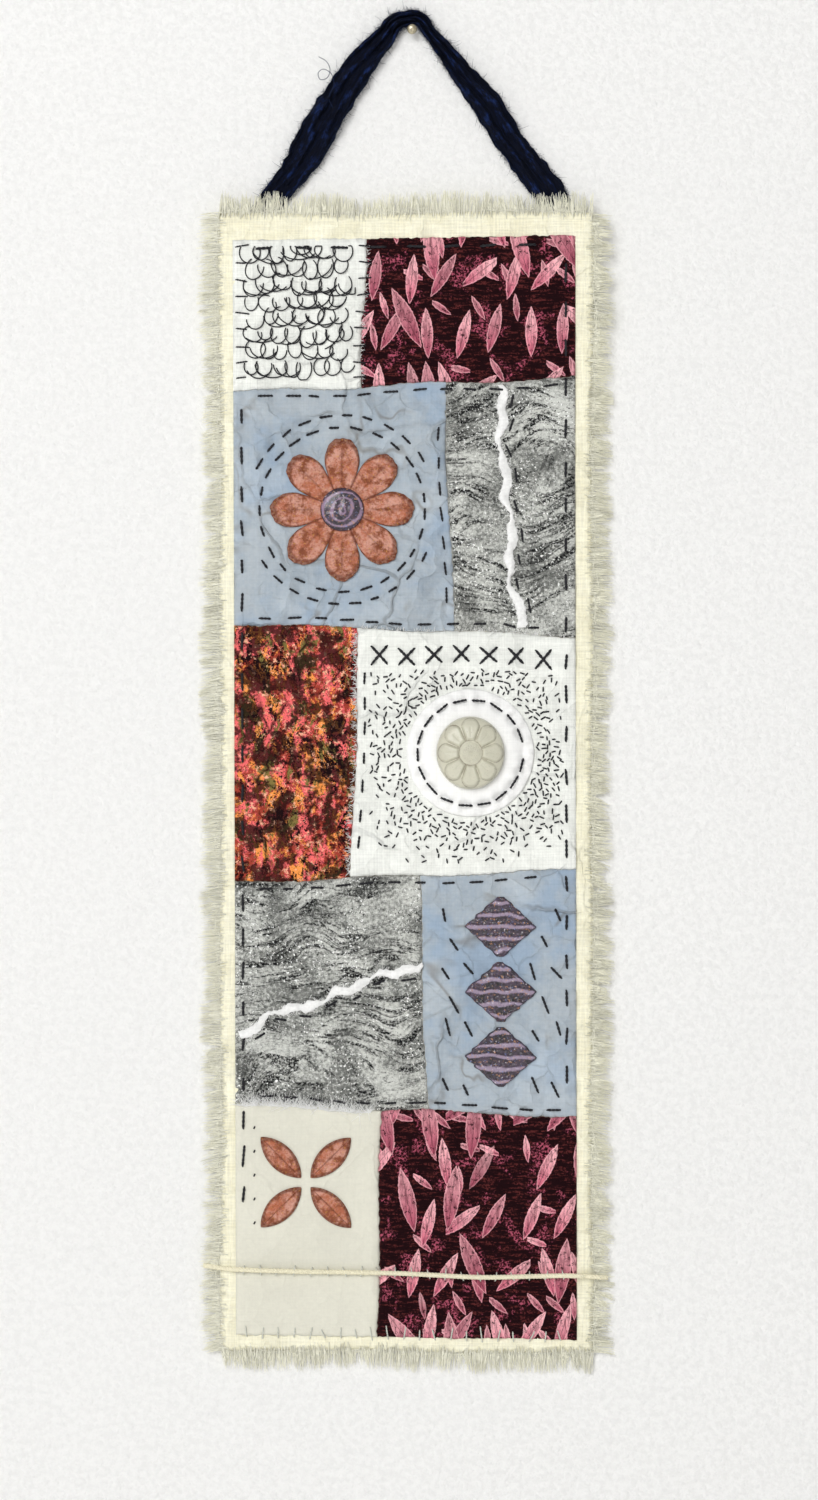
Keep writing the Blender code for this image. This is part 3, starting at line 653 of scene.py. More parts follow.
@node_group("Plain weave", ["Height", "Shade"], Pitch=0.0005, Slub=0.3)
def weave(net, place, pitch, slub):
    """Plain weave: threads over and under each other, thick and thin."""
    place = place + net.shake(place, 260) * (pitch * 1.2)
    sine_x, sine_y = (net.math("SINE", part * math.pi / pitch) for part in net.parts(place)[:2])
    over = sine_x * sine_y * 0.5 + 0.5
    warp, weft = abs(sine_x) * net.ramp(over, 0, 1, 0.5, 1), abs(sine_y) * net.ramp(over, 0, 1, 1, 0.5)
    height = net.math("MAXIMUM", warp, weft)
    upright = net.noise(net.stretched(place, 1500, 70), 1, 3)
    level = net.noise(net.stretched(place, 70, 1500), 1, 3)
    slubs = (upright + level - 1) * slub + 1
    return height * slubs, slubs


@node_group("Mottle", ["Mask"], Cloud=60.0, Grain=900.0, Contrast=0.2)
def mottle(net, place, cloud, grain, contrast):
    """A mask of cloudy and speckled print, from coarse clouds to fine grain."""
    level = net.noise(place, cloud, 5, 0.6, 0.4) * 0.5 + net.noise(place, grain, 4, 0.75) * 0.5
    return net.ramp(level, 0.5 - contrast, 0.5 + contrast)


@node_group("Creases", ["Line", "Facet"], Scale=60.0, Width=0.05)
def creases(net, place, scale, width):
    """Creases of crumpled cloth: broken lines, and the facets that meet in them."""
    place = place + net.shake(place, scale * 1.1, 4) * (0.7 / scale)
    cell = {"Vector": place, "Scale": scale}
    edge = net.add("TexVoronoi", cell, feature="DISTANCE_TO_EDGE", voronoi_dimensions="2D")
    broken = net.spots(place, scale * 0.8, 0.44, 0.62)
    return net.ramp(edge, 0, width, 1, 0) * broken, net.add("TexVoronoi", cell, voronoi_dimensions="2D")


@node_group("Leaf scatter", ["Leaf", "Rim", "Vein", "Along", "Tint"], Across=0.009, Up=0.013,
            Length=0.0052, Width=0.0015, Spread=1.5, Lean=0.5)
def leaf_scatter(net, place, across, up, length, width, spread, lean):
    """Pointed leaves in staggered cells, each turned its own way. Sizes are in metres."""
    x, y, _ = net.parts(place)
    level = y / up
    row = net.math("FLOOR", level)
    run = x / across + net.math("FLOORED_MODULO", row, 2) * 0.5
    chance = net.add("TexWhiteNoise", {"Vector": net.joined(net.math("FLOOR", run), row)}, out=1)
    red, green, blue = net.parts(chance)
    aside, above = (green - 0.5) * 0.2 - 0.5, (blue - 0.5) * 0.15 - 0.5
    local = net.joined((net.math("FRACT", run) + aside) * across, (net.math("FRACT", level) + above) * up)
    turn = (red - 0.5) * spread + lean
    x, y, _ = net.parts(net.add("VectorRotate", {"Vector": local, "Angle": turn}, rotation_type="Z_AXIS"))
    ragged = (net.noise(place, 900, 3) - 0.5) * 0.0008 + x
    reach = y / length
    inside = (1 - reach * reach) * width - abs(ragged)
    rim = net.ramp(inside, 0, 0.0001) * net.ramp(inside, 0.0001, 0.0006, 1, 0)
    vein = net.ramp(abs(ragged), 0, 0.0003, 1, 0)
    return net.ramp(inside, -5e-5, 0.0001), rim, vein, reach * 0.5 + 0.5, green


# Materials


def dim(colour, share):
    """The same colour, darker or lighter."""
    return tuple(min(share * part, 1) for part in colour)


def new_material(name, paint, roughness, metallic=0.0, coat=0.0, specular=0.5):
    """A material. paint(net) gives its colour and perhaps a relief in metres and a roughness."""
    material = bpy.data.materials.new(name)
    material.use_nodes = True
    shader = material.node_tree.nodes["Principled BSDF"].inputs
    net = Net(material.node_tree)
    settings = {"Roughness": roughness, "Metallic": metallic, "Coat Weight": coat, "Coat Roughness": 0.15,
                "Specular IOR Level": specular}
    painted = dict(zip(("Base Color", "Normal", "Roughness"), paint(net)))
    if "Normal" in painted:
        painted["Normal"] = net.add("Bump", {"Strength": 1, "Distance": 1, "Height": painted["Normal"]})
    for label, value in (*settings.items(), *painted.items()):
        net.feed(shader[label], value)
    return material


def cloth_material(name, paint, pitch=0.0005, slub=0.15, relief=2e-5, roughness=0.9, raw=(0.72, 0.7, 0.64),
                   frayed=0.35, flat=True, specular=0.15):
    """A woven cloth. paint(net, place) gives its colour and relief. raw and frayed are the colour of its raw
    edges and how much it shows."""
    def woven(net):
        place = net.flat_place() if flat else net.add("UVMap", out="UV", uv_map="Cloth")
        colour, height = paint(net, place)
        thread, slubs = net.group(weave, Vector=place, Pitch=pitch, Slub=slub)
        # Darker in the low gaps between the threads and a little lighter on their tops: painted shade and
        # highlight of the weave. The slubs give thick and thin threads their own tone.
        shade = slubs * net.ramp(thread, 0.25, 0.75, 0.93, 1.02)
        colour = net.blend(1, colour, net.joined(shade, shade, shade), "MULTIPLY")
        worn = net.ramp(net.attribute("edge"), 0.55, 1) * net.spots(place, 900, 0.4, 0.6)
        return net.blend(worn * frayed, colour, raw), thread * relief + height
    return new_material(name, woven, roughness, specular=specular)


def dyed(paint):
    """Lets a paint be given its dyes first, and the net and place by its material."""
    return lambda *dyes, **more: lambda *at: paint(*at, *dyes, **more)


@dyed
def plain_paint(net, place, base, shadow, cloud=45, crease=0, line=(0.4, 0.4, 0.38), crease_shade=0, vein=None,
                wash=None):
    """Plain cloth: clouds of a second colour, and creases of a depth in metres, along which line is painted
    in a given share as painted shade. vein is the colour of thin stains that wander over it, wash that of a
    stronger dye in places."""
    colour = net.blend(net.group(mottle, Vector=place, Cloud=cloud, Grain=600.0, Contrast=0.16), base, shadow)
    coarse, broad = net.group(creases, Vector=place, Scale=34.0, Width=0.035)
    fine, narrow = net.group(creases, Vector=place, Scale=105.0, Width=0.07)
    lines = net.math("MAXIMUM", coarse, fine * 0.35)
    if wash:
        deep = net.spots(place + (0.3, 0.2, 0), 26, 0.46, 0.62, 5, 0.6)
        colour = net.blend(deep * 0.75, colour, wash)
        light = net.spots(place, 19, 0.48, 0.64, 5, 0.65)
        colour = net.blend(light * 0.4, colour, dim(base, 1.35))
    # Along the creases the colour turns to line: painted shade in the creases.
    colour = net.blend(lines * crease_shade, colour, line)
    if vein:
        trace = net.ramp(abs(net.noise(place, 26, 3, 0.5, 0.3) - 0.5), 0, 0.02, 1, 0)
        colour = net.blend(trace * net.spots(place, 38, 0.48, 0.62, 3) * 0.5, colour, vein)
    return colour, (broad + narrow * 0.4 + lines * 0.1) * crease


@dyed
def grey_paint(net, place, light, dark):
    """Charcoal rubbed over pale cloth: grain, clouds and leaning strokes."""
    mask = net.group(mottle, Vector=place, Cloud=52.0, Grain=800.0, Contrast=0.09)
    colour = net.blend(mask * 0.95, light, dark)
    grain = net.spots(place, 1100, 0.36, 0.54, 3, 0.7)
    bent = place + net.shake(place, 20) * 0.05
    for turn, aside in ((0.6, 0), (-0.8, 0.31), (1.9, 0.57)):
        moved = bent + (aside, aside, 0)
        dabs = net.spots(net.stretched(moved, 50, 300, turn), 1, 0.515, 0.585, 5, 0.72)
        where = net.spots(moved, 30, 0.42, 0.54)
        colour = net.blend(dabs * where * grain, colour, (0.004, 0.004, 0.005))
    for low, tint in ((0.6, (0.92, 0.93, 0.91)), (0.61, (0.006, 0.006, 0.007))):
        flecks = net.ramp(net.noise(place + (low, 0, 0), 950, 2, 0.6), low, low + 0.04)
        colour = net.blend(flecks * net.ramp(net.noise(place, 60, 2), 0.4, 0.6, 0.3, 1), colour, tint)
    return colour, mask * -3e-5


@dyed
def leaf_paint(net, place, ground, speck, leaf, leaf_light):
    """A dark print scattered with leaves of three sizes, pale towards their tips."""
    grain = net.noise(place, 1100, 3, 0.7)
    rows = net.spots(net.stretched(place, 150, 900, 0.04), 1, 0.49, 0.58, 4, 0.7)
    colour = net.blend(rows * net.ramp(grain, 0.42, 0.58), ground, speck)
    patches = net.spots(place, 95, 0.53, 0.6, 5, 0.7)
    colour = net.blend(patches * net.ramp(grain, 0.48, 0.56) * 0.85, colour, dim(leaf, 0.75))
    streak = net.spots(net.stretched(place, 900, 160, 0.5), 1, 0.42, 0.62, 4, 0.75)
    bite = net.spots(place, 520, 0.545, 0.6, 5, 0.8)
    for size, step, lean, share in ((0.9, 0.0031, -0.7, 0.45), (1.6, 0, 0.35, 0.8), (2.1, 0.0087, -0.3, 0.4)):
        blade, rim, vein, along, tint = net.group(
            leaf_scatter, Vector=place + (step, 1.7 * step, 0), Across=0.0078 * size, Up=0.0128 * size,
            Length=0.0059 * size, Width=0.0014 * size, Spread=1.4, Lean=lean)
        body = net.blend(net.ramp(along, 0, 0.9), leaf, leaf_light)
        for cover, dye in ((net.ramp(tint, 0.55, 1) * 0.6, dim(leaf, 0.45)), (streak * 0.65, dim(leaf, 0.22)),
                           (vein * 0.5, ground), (bite * 0.9, ground), (rim * 0.55, leaf_light)):
            body = net.blend(cover, body, dye)
        colour = net.blend(blade * net.ramp(tint, 0.98 - share, 1 - share), colour, body)
    return colour, rows * 3e-5


@dyed
def batik_paint(net, place, ground, *tints):
    """Wax-resist print: blots of several hues, one over the other, on a dark ground."""
    bent = place + net.shake(place, 45, 3) * 0.016
    grain = net.noise(place, 800, 4, 0.75)
    colour = ground
    blots = ((110, 0.3, 0.45), (150, -0.3, 0.495), (210, 0.5, 0.545), (190, -0.6, 0.56))
    for number, (tint, (across, turn, level)) in enumerate(zip(tints, blots)):
        moved = net.stretched(bent + (0.17 * number, 0.11 * number, 0), across, 0.4 * across, turn)
        mask = net.ramp(net.noise(moved, 1, 5, 0.72) + (grain - 0.5) * 0.6, level, level + 0.03)
        colour = net.blend(mask, colour, tint)
    flecks = net.spots(place + (0.4, 0.1, 0), 400, 0.555, 0.61, 4, 0.75)
    colour = net.blend(flecks * 0.85, colour, (1, 0.52, 0.34))
    lines, _ = net.group(creases, Vector=bent, Scale=110.0, Width=0.12)
    shade = net.spots(place, 110, 0.47, 0.54, 4, 0.65) * net.ramp(grain, 0.34, 0.44)
    dark = net.math("MAXIMUM", net.math("MAXIMUM", lines, shade * 0.95), net.ramp(grain, 0.56, 0.62))
    return net.blend(dark * 0.95, colour, ground), lines * -5e-5


@dyed
def coral_paint(net, place, body, pale, deep):
    """Hand-coloured cloth: chalky coral, brown towards the cut edge, with flecks of gold."""
    mask = net.group(mottle, Vector=place, Cloud=150.0, Grain=900.0, Contrast=0.11)
    rust = net.spots(place, 210, 0.46, 0.62, 5, 0.7)
    colour = net.blend(rust, net.blend(mask, body, pale), dim(body, 0.55))
    edge = net.ramp(net.attribute("edge") + net.noise(place, 500, 3) * 0.45, 0.62, 1.1)
    flecks = net.spots(place, 1000, 0.58, 0.66, 3, 0.7)
    dark = net.spots(place + (0.2, 0, 0), 1200, 0.6, 0.66, 3, 0.7)
    for factor, tint in ((edge * 0.85, deep), (net.attribute("groove") * 0.8, deep),
                         (flecks * 0.6, (0.6, 0.3, 0.06)), (dark * 0.7, deep)):
        colour = net.blend(factor, colour, tint)
    return colour, mask * 5e-5


@dyed
def ribbon_paint(net, place, body, light):
    """Navy cloth with painted highlight: paler blue streaks along it, and pale blue on the crests of its
    folds in random spots.
    """
    mask = net.group(mottle, Vector=place, Cloud=150.0, Grain=1000.0, Contrast=0.12)
    # Pale blue on the crests that stand out from the wall, broken up in random spots: painted highlight.
    crest = net.ramp(net.attribute("crest") + mask * 0.6, 0.85, 1.45)
    # Paler blue streaks along the ribbon: painted sheen, with a slight relief.
    streaks = net.spots(net.stretched(place, 220, 1300), 1, 0.45, 0.66, 4, 0.65)
    colour = net.blend(streaks * 0.5, body, dim(light, 0.35))
    worn = net.spots(place, 230, 0.44, 0.6, 5, 0.75)
    facets = net.group(creases, Vector=place, Scale=230.0, Width=0.2)[1]
    return net.blend(crest * worn * 0.9, colour, light), facets * 0.0011 + streaks * 0.00012


@dyed
def purple_paint(net, body, crest):
    """Glossy painted cloth, dark in the troughs: the lilac on the crests is painted highlight, and among
    flecks of gilt and blue the near-white ones are painted glints.
    """
    place = net.flat_place()
    grain = net.noise(place, 620, 6, 0.8)
    mask = net.group(mottle, Vector=place, Cloud=160.0, Grain=900.0, Contrast=0.1)
    # Lilac along the ridges: painted highlight.
    lit = net.ramp(net.attribute("ridge") + grain * 1.6, 1.28, 1.72)
    colour = net.blend(lit, net.blend(mask, body, (0.006, 0.004, 0.007)), crest)
    # The near-white flecks are painted glints.
    for shift, low, tint in ((0, 0.59, (0.5, 0.24, 0.11)), (0.3, 0.62, (0.2, 0.26, 0.55)),
                             (0.7, 0.63, (0.9, 0.85, 0.9))):
        flecks = net.ramp(net.noise(place + (shift, 0.1, 0), 800, 3, 0.7), low, low + 0.05)
        colour = net.blend(flecks * 0.8, colour, tint)
    return colour, grain * 0.0005, net.ramp(grain, 0.3, 0.7, 0.22, 0.6)


def thread_material(name, colour, tip=None, roughness=0.8, twist=2600.0, specular=0.2):
    """Spun thread: fine streaks. Where it has a tip, a second colour towards it and a tone of each strand."""
    def paint(net):
        place = net.place()
        streak = net.spots(place, twist, 0.35, 0.65)
        made = net.blend(streak * net.noise(place, 120, 2), colour, dim(colour, 0.75))
        if tip:
            # Towards its tip the colour turns to the tip colour; the fringe's darker roots are painted shade.
            made = net.blend(net.ramp(net.attribute("along"), 0, 0.6), made, tip)
            made = net.blend(net.attribute("tone"), made, dim(colour, 0.62))
        return made, streak * 4e-5
    return new_material(name, paint, roughness, specular=specular)


@dyed
def ceramic_paint(net, body, wash):
    """Ivory clay under a satin glaze, with a dark wash in its hollows and a faint crackle."""
    place = net.flat_place()
    mask = net.group(mottle, Vector=place, Cloud=140.0, Grain=700.0, Contrast=0.14)
    stain = net.ramp(net.attribute("hollow") + mask * 0.3, 0.35, 1.15)
    colour = net.blend(mask * 0.5, body, dim(body, 0.86))
    crackle, _ = net.group(creases, Vector=place, Scale=380.0, Width=0.03)
    specks = net.spots(place, 1500, 0.66, 0.72, 2, 0.6)
    for factor in (stain * 0.85, crackle * 0.2, specks * 0.4):
        colour = net.blend(factor, colour, wash)
    return colour, net.noise(place, 450, 3) * 0.00012, net.ramp(stain, 0, 1, 0.38, 0.6)


def steel_paint(net):
    """Brass-washed steel, scratched and dulled."""
    wear = net.spots(net.place(), 900, 0.4, 0.65, 4, 0.7)
    scratches = net.noise(net.place(), 2500, 3) * 3e-5
    return net.blend(wear, (0.62, 0.55, 0.38), (0.3, 0.27, 0.22)), scratches, net.ramp(wear, 0, 1, 0.3, 0.55)


def wall_material(colour):
    """Painted plaster. It is seen from its front alone, so that the hanging shows from behind too."""
    def paint(net):
        place = net.place()
        grain = net.noise(place, 420, 5, 0.7)
        tint = net.blend(net.spots(place, 3.5, 0.3, 0.7, 3), colour, dim(colour, 0.975))
        tint = net.blend(net.ramp(grain, 0.4, 0.62), tint, dim(colour, 0.93))
        speckle = net.spots(place, 520, 0.56, 0.7, 3, 0.7)
        return net.blend(speckle * 0.3, tint, dim(colour, 0.82)), grain * 0.0009
    material = new_material("painted wall", paint, 0.9, specular=0.1)
    net = Net(material.node_tree)
    nodes = material.node_tree.nodes
    hidden = net.math("MAXIMUM", net.add("NewGeometry", out="Backfacing"),
                      net.add("LightPath", out="Is Shadow Ray"))
    seen = Value(net, nodes["Principled BSDF"].outputs[0])
    shown = net.add("MixShader", {0: hidden, 1: seen, 2: net.add("BsdfTransparent")})
    net.feed(nodes["Material Output"].inputs["Surface"], shown)
    return material


# Geometry Nodes


def carried(net, name):
    """A vector that each base point carries."""
    return net.add("InputNamedAttribute", {"Name": name}, data_type="FLOAT_VECTOR")


def lines_along(net, points, start, segments):
    """A line on each point along its way, from a share of it to one way further, and the way's length."""
    line = net.add("CurvePrimitiveLine", {"Start": (0, 0, start), "End": (0, 0, start + 1)})
    line = net.add("ResampleCurve", {"Curve": line, "Count": segments})
    way = carried(net, "way")
    length = net.vector("LENGTH", way, out="Value")
    placed = net.add("InstanceOnPoints", {
        "Points": points, "Instance": line, "Scale": net.joined(1, 1, length),
        "Rotation": net.add("AlignRotationToVector", {"Vector": way}, axis="Z"),
    })
    return net.add("RealizeInstances", {"Geometry": placed}), length


def share_along(net, out="Factor"):
    return net.add("SplineParameter", out=out)


def plied(net, lines, strands):
    """A copy of each line for each strand, and the turn at which each one starts."""
    copies = net.add("DuplicateElements", {"Geometry": lines, "Amount": strands}, domain="SPLINE")
    return copies, copies.other("Duplicate Index") * TAU / strands


def displaced(net, lines, **where):
    return net.add("SetPosition", {"Geometry": lines, **where})


def swept(net, lines, radius, sides, material, taper=1.0):
    """Round thread along lines, realised, smoothed and given its material."""
    ring = net.add("CurvePrimitiveCircle", {"Resolution": sides, "Radius": radius})
    made = net.add("CurveToMesh", {"Curve": lines, "Profile Curve": ring, "Scale": taper, "Fill Caps": True})
    made = net.add("RealizeInstances", {"Geometry": made})
    made = net.add("SetShadeSmooth", {"Geometry": made})
    return net.add("SetMaterial", {"Geometry": made, "Material": material})


@node_group("Straight stitches", Thickness=0.0007, Arch=0.5, Segments=10, Sides=5, Strands=2, Twist=0.19,
            Material="Material")
def straight_stitches(net, points, thick, arch, segments, sides, strands, twist, material):
    """Stitches of twisted thread that dive into the cloth at both ends. Each point carries way, from end to
    end, and out, away from the cloth."""
    lines, length = lines_along(net, points, -0.5, segments)
    lines, own_turn = plied(net, lines, strands)
    share = share_along(net)
    bow = net.math("MINIMUM", share * (1 - share) * 7, 1)
    rise = net.math("POWER", bow, 0.6) * (arch + 0.6) - 0.6
    turn = share * length * TAU / (thick * 2.8) + own_turn
    out = carried(net, "out")
    aside = net.vector("CROSS_PRODUCT", net.vector("NORMALIZE", carried(net, "way")), out)
    outward = thick * (rise + twist * net.math("SINE", turn))
    lines = displaced(net, lines, Offset=out * outward + aside * (thick * twist * net.math("COSINE", turn)))
    return swept(net, lines, thick * (0.5 - twist), sides, material, net.ramp(bow, 0, 0.6, 0.7, 1))


@node_group("Loose strands", Radius=0.00013, Segments=8, Sides=3, Wander=0.0006, Crinkle=700.0, Droop=0.0,
            Material="Material")
def loose_strands(net, points, radius, segments, sides, wander, crinkle, droop, material):
    """Loose strands. Each point carries way, from root to tip."""
    strands, _ = lines_along(net, points, 0, segments)
    share = share_along(net)
    own = net.add("InputPosition") + carried(net, "way") * 5
    shaken = net.shake(own, crinkle) * (wander * 2 * net.math("POWER", share, 0.7))
    strands = displaced(net, strands, Offset=shaken + net.joined(0, 0, share * share * droop * -1))
    x, y, z = net.parts(net.add("InputPosition"))
    strands = displaced(net, strands, Position=net.joined(x, net.math("MINIMUM", y, -WALL_ROOM), z))
    strands = net.add("StoreNamedAttribute", {"Geometry": strands, "Name": "along", "Value": share})
    return swept(net, strands, radius, sides, material, net.ramp(share, 0.3, 1, 1, 0.45))


@node_group("Laid thread", Radius=0.0002, Sides=6, Material="Material")
def laid_thread(net, paths, radius, sides, material):
    """Thread laid along paths."""
    line = net.add("MeshToCurve", {"Mesh": paths})
    share = share_along(net)
    return swept(net, line, radius, sides, material, net.ramp(share * (1 - share) * 4, 0, 0.02, 0.4, 1))


@node_group("Twisted cord", Radius=CORD_RADIUS, Pitch=0.0042, Strands=3, Sides=9, Points=460,
            Material="Material")
def twisted_cord(net, path, radius, pitch, strands, sides, count, material):
    """Strands twisted round a path."""
    line = net.add("MeshToCurve", {"Mesh": path})
    line = net.add("ResampleCurve", {"Curve": line, "Count": count})
    lines, own_turn = plied(net, line, strands)
    aside = net.add("VectorRotate", {
        "Vector": net.add("InputNormal"), "Axis": net.add("InputTangent"),
        "Angle": share_along(net, "Length") * TAU / pitch + own_turn,
    }, rotation_type="AXIS_ANGLE")
    return swept(net, displaced(net, lines, Offset=aside * (radius * 0.41)), radius * 0.58, sides, material)


def grow(name, ask, points, edges=(), carry=None, slot=None, node=None, **values):
    """Runs a Geometry Nodes tree over base points and makes a piece of the result."""
    holder = add_object(name + "_base", mesh_of(points, (), edges, **(carry or {})))
    modifier = holder.modifiers.new("Grow", "NODES")
    modifier.node_group = ask()
    for item in modifier.node_group.interface.items_tree:
        if item.in_out == "INPUT" and item.name in values:
            modifier[item.identifier] = values[item.name]
    graph = bpy.context.evaluated_depsgraph_get()
    made = bpy.data.meshes.new_from_object(holder.evaluated_get(graph))
    bpy.data.objects.remove(holder, do_unlink=True)
    settle(add_object(name, made), slot, node)


# Properties


def metres(name, note, value):
    return FloatProperty(name=name, description=note, default=value, unit="LENGTH")


def hue(name, note, value):
    return FloatVectorProperty(name=name, description=note, subtype="COLOR", min=0, max=1, default=value)


class QuiltSizes(bpy.types.PropertyGroup):
    """Sizes of the sheets, threads and stitches"""

    cell: metres("Cloth cell", "Spacing of the points on a patch", 0.00105)
    curl: metres("Edge curl", "How far raw edges lift here and there", 0.00025)
    fringe_density: FloatProperty(name="Fringe threads", description="Threads to a metre", default=9200.0)
    fringe_radius: metres("Fringe thread radius", "Half the thickness of a ravelled thread", 0.00017)
    running: metres("Running stitch", "Length of a running stitch", 0.0053)
    running_pitch: metres("Running pitch", "From one running stitch to the next", 0.0138)
    heavy: metres("Heavy thread", "Thickness of the dark stitches", 0.00115)
    light: metres("Light thread", "Thickness of seed stitches and loops", 0.0005)
    seeds: IntProperty(name="Seed stitches", description="Seed stitches round the padded circle", default=620)
    cord_pitch: metres("Cord lay", "One turn of the cord's strands", 0.0038)


class QuiltColours(bpy.types.PropertyGroup):
    """Colours of the cloths, threads and hard pieces"""

    border: hue("Border cloth", "Woven border", (0.96, 0.935, 0.755))
    fringe: hue("Ravelled thread", "Fringe", (0.99, 0.975, 0.83))
    muslin: hue("Muslin", "White patches", (0.9, 0.915, 0.865))
    cream: hue("Plain cream", "Plain patch", (0.76, 0.745, 0.64))
    blue: hue("Blue", "Crumpled blue patches", (0.445, 0.49, 0.525))
    grey: hue("Grey", "Pale ground of the grey print", (0.62, 0.63, 0.59))
    charcoal: hue("Charcoal", "Dark of the grey print", (0.13, 0.134, 0.125))
    maroon: hue("Maroon", "Dark ground of the leaf print", (0.011, 0.0022, 0.0035))
    pink: hue("Leaf pink", "Leaves of the leaf print", (0.64, 0.13, 0.21))
    rust: hue("Rust", "Warm pebbles of the batik", (0.36, 0.05, 0.032))
    coral: hue("Coral", "Flower and pointed ovals", (0.44, 0.135, 0.07))
    purple: hue("Purple", "Glossy ridged cloth", (0.075, 0.045, 0.08))
    white: hue("White", "Padded circle and torn edges", (0.96, 0.96, 0.945))
    navy: hue("Navy", "Ribbon", (0.0018, 0.0028, 0.0085))
    glaze: hue("Glaze", "Ceramic button", (0.62, 0.605, 0.485))
    cord: hue("Cord", "Couched cord", (0.88, 0.83, 0.62))
    ink: hue("Dark thread", "Stitches and loops", (0.014, 0.014, 0.018))
    wall: hue("Wall", "Backdrop", (0.94, 0.938, 0.927))


# Pieces


def settle(piece, slot=None, node=None):
    """Rides on the body and stands for a solid, whose part it hides. slot is not used."""
    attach(piece, "root")
    if node:
        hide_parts(node)
    return piece


def pieces_named(*starts):
    return [o for o in bpy.data.objects if o.type == "MESH" and o.name.startswith(starts) and "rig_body" in o]


def sheet_front():
    """The front of the panel with all that is applied to it."""
    kinds = "cloth_", "patch_cloth", "torn_strip", "flower_", "padded_", "peel_", "lozenge_"
    return Front(pieces_named(*kinds))


def front_of(layer, away, rim=RIM):
    """The front of a layer, thinner towards its raw rim."""
    return mix(layer[2], layer[1], smooth(0, rim, away))


def lay_sheet(name, x, z, front, back, look, slot, node, **marks):
    """A sheet at places on the wall, between two distances off it, in place of a solid."""
    mesh = closed_sheet(stack(x, front, z), stack(x, back, z), **marks)
    return settle(add_object(name, mesh, look), slot, node)


def make_backing(sizes, hues):
    """The cream cloth under the panel, rumpled along its borders."""
    cell = 2.2 * sizes.cell
    s, t = np.meshgrid(even(CLOTH_WIDE, cell), even(CLOTH_TALL, cell))
    x, z = on_cloth(s, t)
    side, end = minimum(s, 1 - s) * CLOTH_WIDE, minimum(t, 1 - t) * CLOTH_TALL
    away = minimum(side, end)
    inner = smooth(0, 0.0012, away)
    puckers = np.where(side < end, ripple(z, 0.3 * x, 0.0085, 5, 16), ripple(x, 0.3 * z, 0.0085, 6, 16))
    rumple = 0.0003 * ripple(x, z, 0.013, 3) + 0.00016 * ripple(x, z, 0.0045, 4) + 0.00026 * puckers
    rumple = rumple * (1 - smooth(0.009, 0.013, away))
    base = hang(x, z)
    front = base + front_of(BACKING, away) + rumple * inner
    back = base + BACKING[0] + 0.6 * clip(rumple, -0.0004, 0.0004) * inner
    look = cloth_material("cream cloth", plain_paint(hues.border, (0.87, 0.83, 0.62), 85, crease=0.003),
                          pitch=0.00055, slub=0.35, relief=0.0001, raw=hues.fringe, frayed=0.8)
    lay_sheet("cloth_backing", x, z, front, back, look, "cream_cloth", "backing_cloth", edge=1 - inner)


# By side: place on the cloth's edge at a share, way outwards (x, z), length
FRINGES = {
    "top": (lambda share: on_cloth(share, 1), (0, 1), CLOTH_WIDE),
    "bottom": (lambda share: on_cloth(1 - share, 0), (0, -1), CLOTH_WIDE),
    "left": (lambda share: on_cloth(0, share), (-1, 0), CLOTH_TALL),
    "right": (lambda share: on_cloth(1, 1 - share), (1, 0), CLOTH_TALL),
}


def make_fringe(side, seed, sizes, hues):
    """A ravelled edge: threads drawn out of the weave, in tufts."""
    edge, (out_x, out_z), length = FRINGES[side]
    rng = default_rng(seed)
    count = round(length * sizes.fringe_density)
    along = np.sort(rng.uniform(0, length, count))
    tufts = np.cumsum(rng.uniform(0.0014, 0.0038, round(length / 0.0013)))
    own = clip(np.searchsorted(tufts, along), 0, len(tufts) - 1)
    gather = rng.uniform(0.62, 1, len(tufts))
    swing = rng.normal(0, 0.0006, len(tufts))
    tall = 0.83 + 0.12 * ripple(along, 0, 0.014, seed) + rng.normal(0, 0.05, len(tufts))[own]
    middle = tufts[own] - 0.0013
    tip = middle + gather[own] * (along - middle) + swing[own] + rng.normal(0, 0.0006, count)
    tall = tall + rng.normal(0, 0.12, count) - 0.4 * (rng.random(count) < 0.25)
    reach = FRINGE_REACH * clip(tall, 0.25, 1.1)
    x, z = edge(along / length)
    crossing = (np.abs(z - CORD_ROUTE[0 if out_x < 0 else -1][1] / 1000) < CORD_SPACE / 2) & (out_x != 0)
    at_edge = crossing | (rng.random(count) < 0.35)
    inside = np.where(at_edge, -0.0001, minimum(rng.exponential(0.0009, count), 0.003))
    tip_x, tip_z = edge(clip(tip, 0, length) / length)
    tip_x, tip_z = tip_x + out_x * reach, tip_z + out_z * reach
    x, z = x - out_x * inside, z - out_z * inside
    base = hang(x, z)
    rooted = np.where(inside > 0, front_of(BACKING, inside) + 0.0001, rng.uniform(0.0005, 0.0011, count))
    off = base + np.where(crossing, 0.0003, rooted)
    end = np.where(crossing, base + 0.0003, base + rng.uniform(0.0004, 0.0022, count))
    way = stack(tip_x - x, end - off, tip_z - z)
    tone = clip(rng.normal(0.12, 0.26, count) + rng.normal(0, 0.13, len(tufts))[own], 0, 1)
    # The roots are a shade darker than the tips: painted shade among the dense roots.
    look = bpy.data.materials.get("ravelled thread") or thread_material(
        "ravelled thread", dim(hues.fringe, 0.94), tip=hues.fringe)
    grow("fringe_threads_" + side, loose_strands, stack(x, off, z), (), {"way": way, "tone": tone},
         "ravelled_thread", "fringe_" + side, Radius=sizes.fringe_radius, Segments=5, Wander=0.00065,
         Crinkle=520.0, Droop=0.0007 * abs(out_x), Material=look)


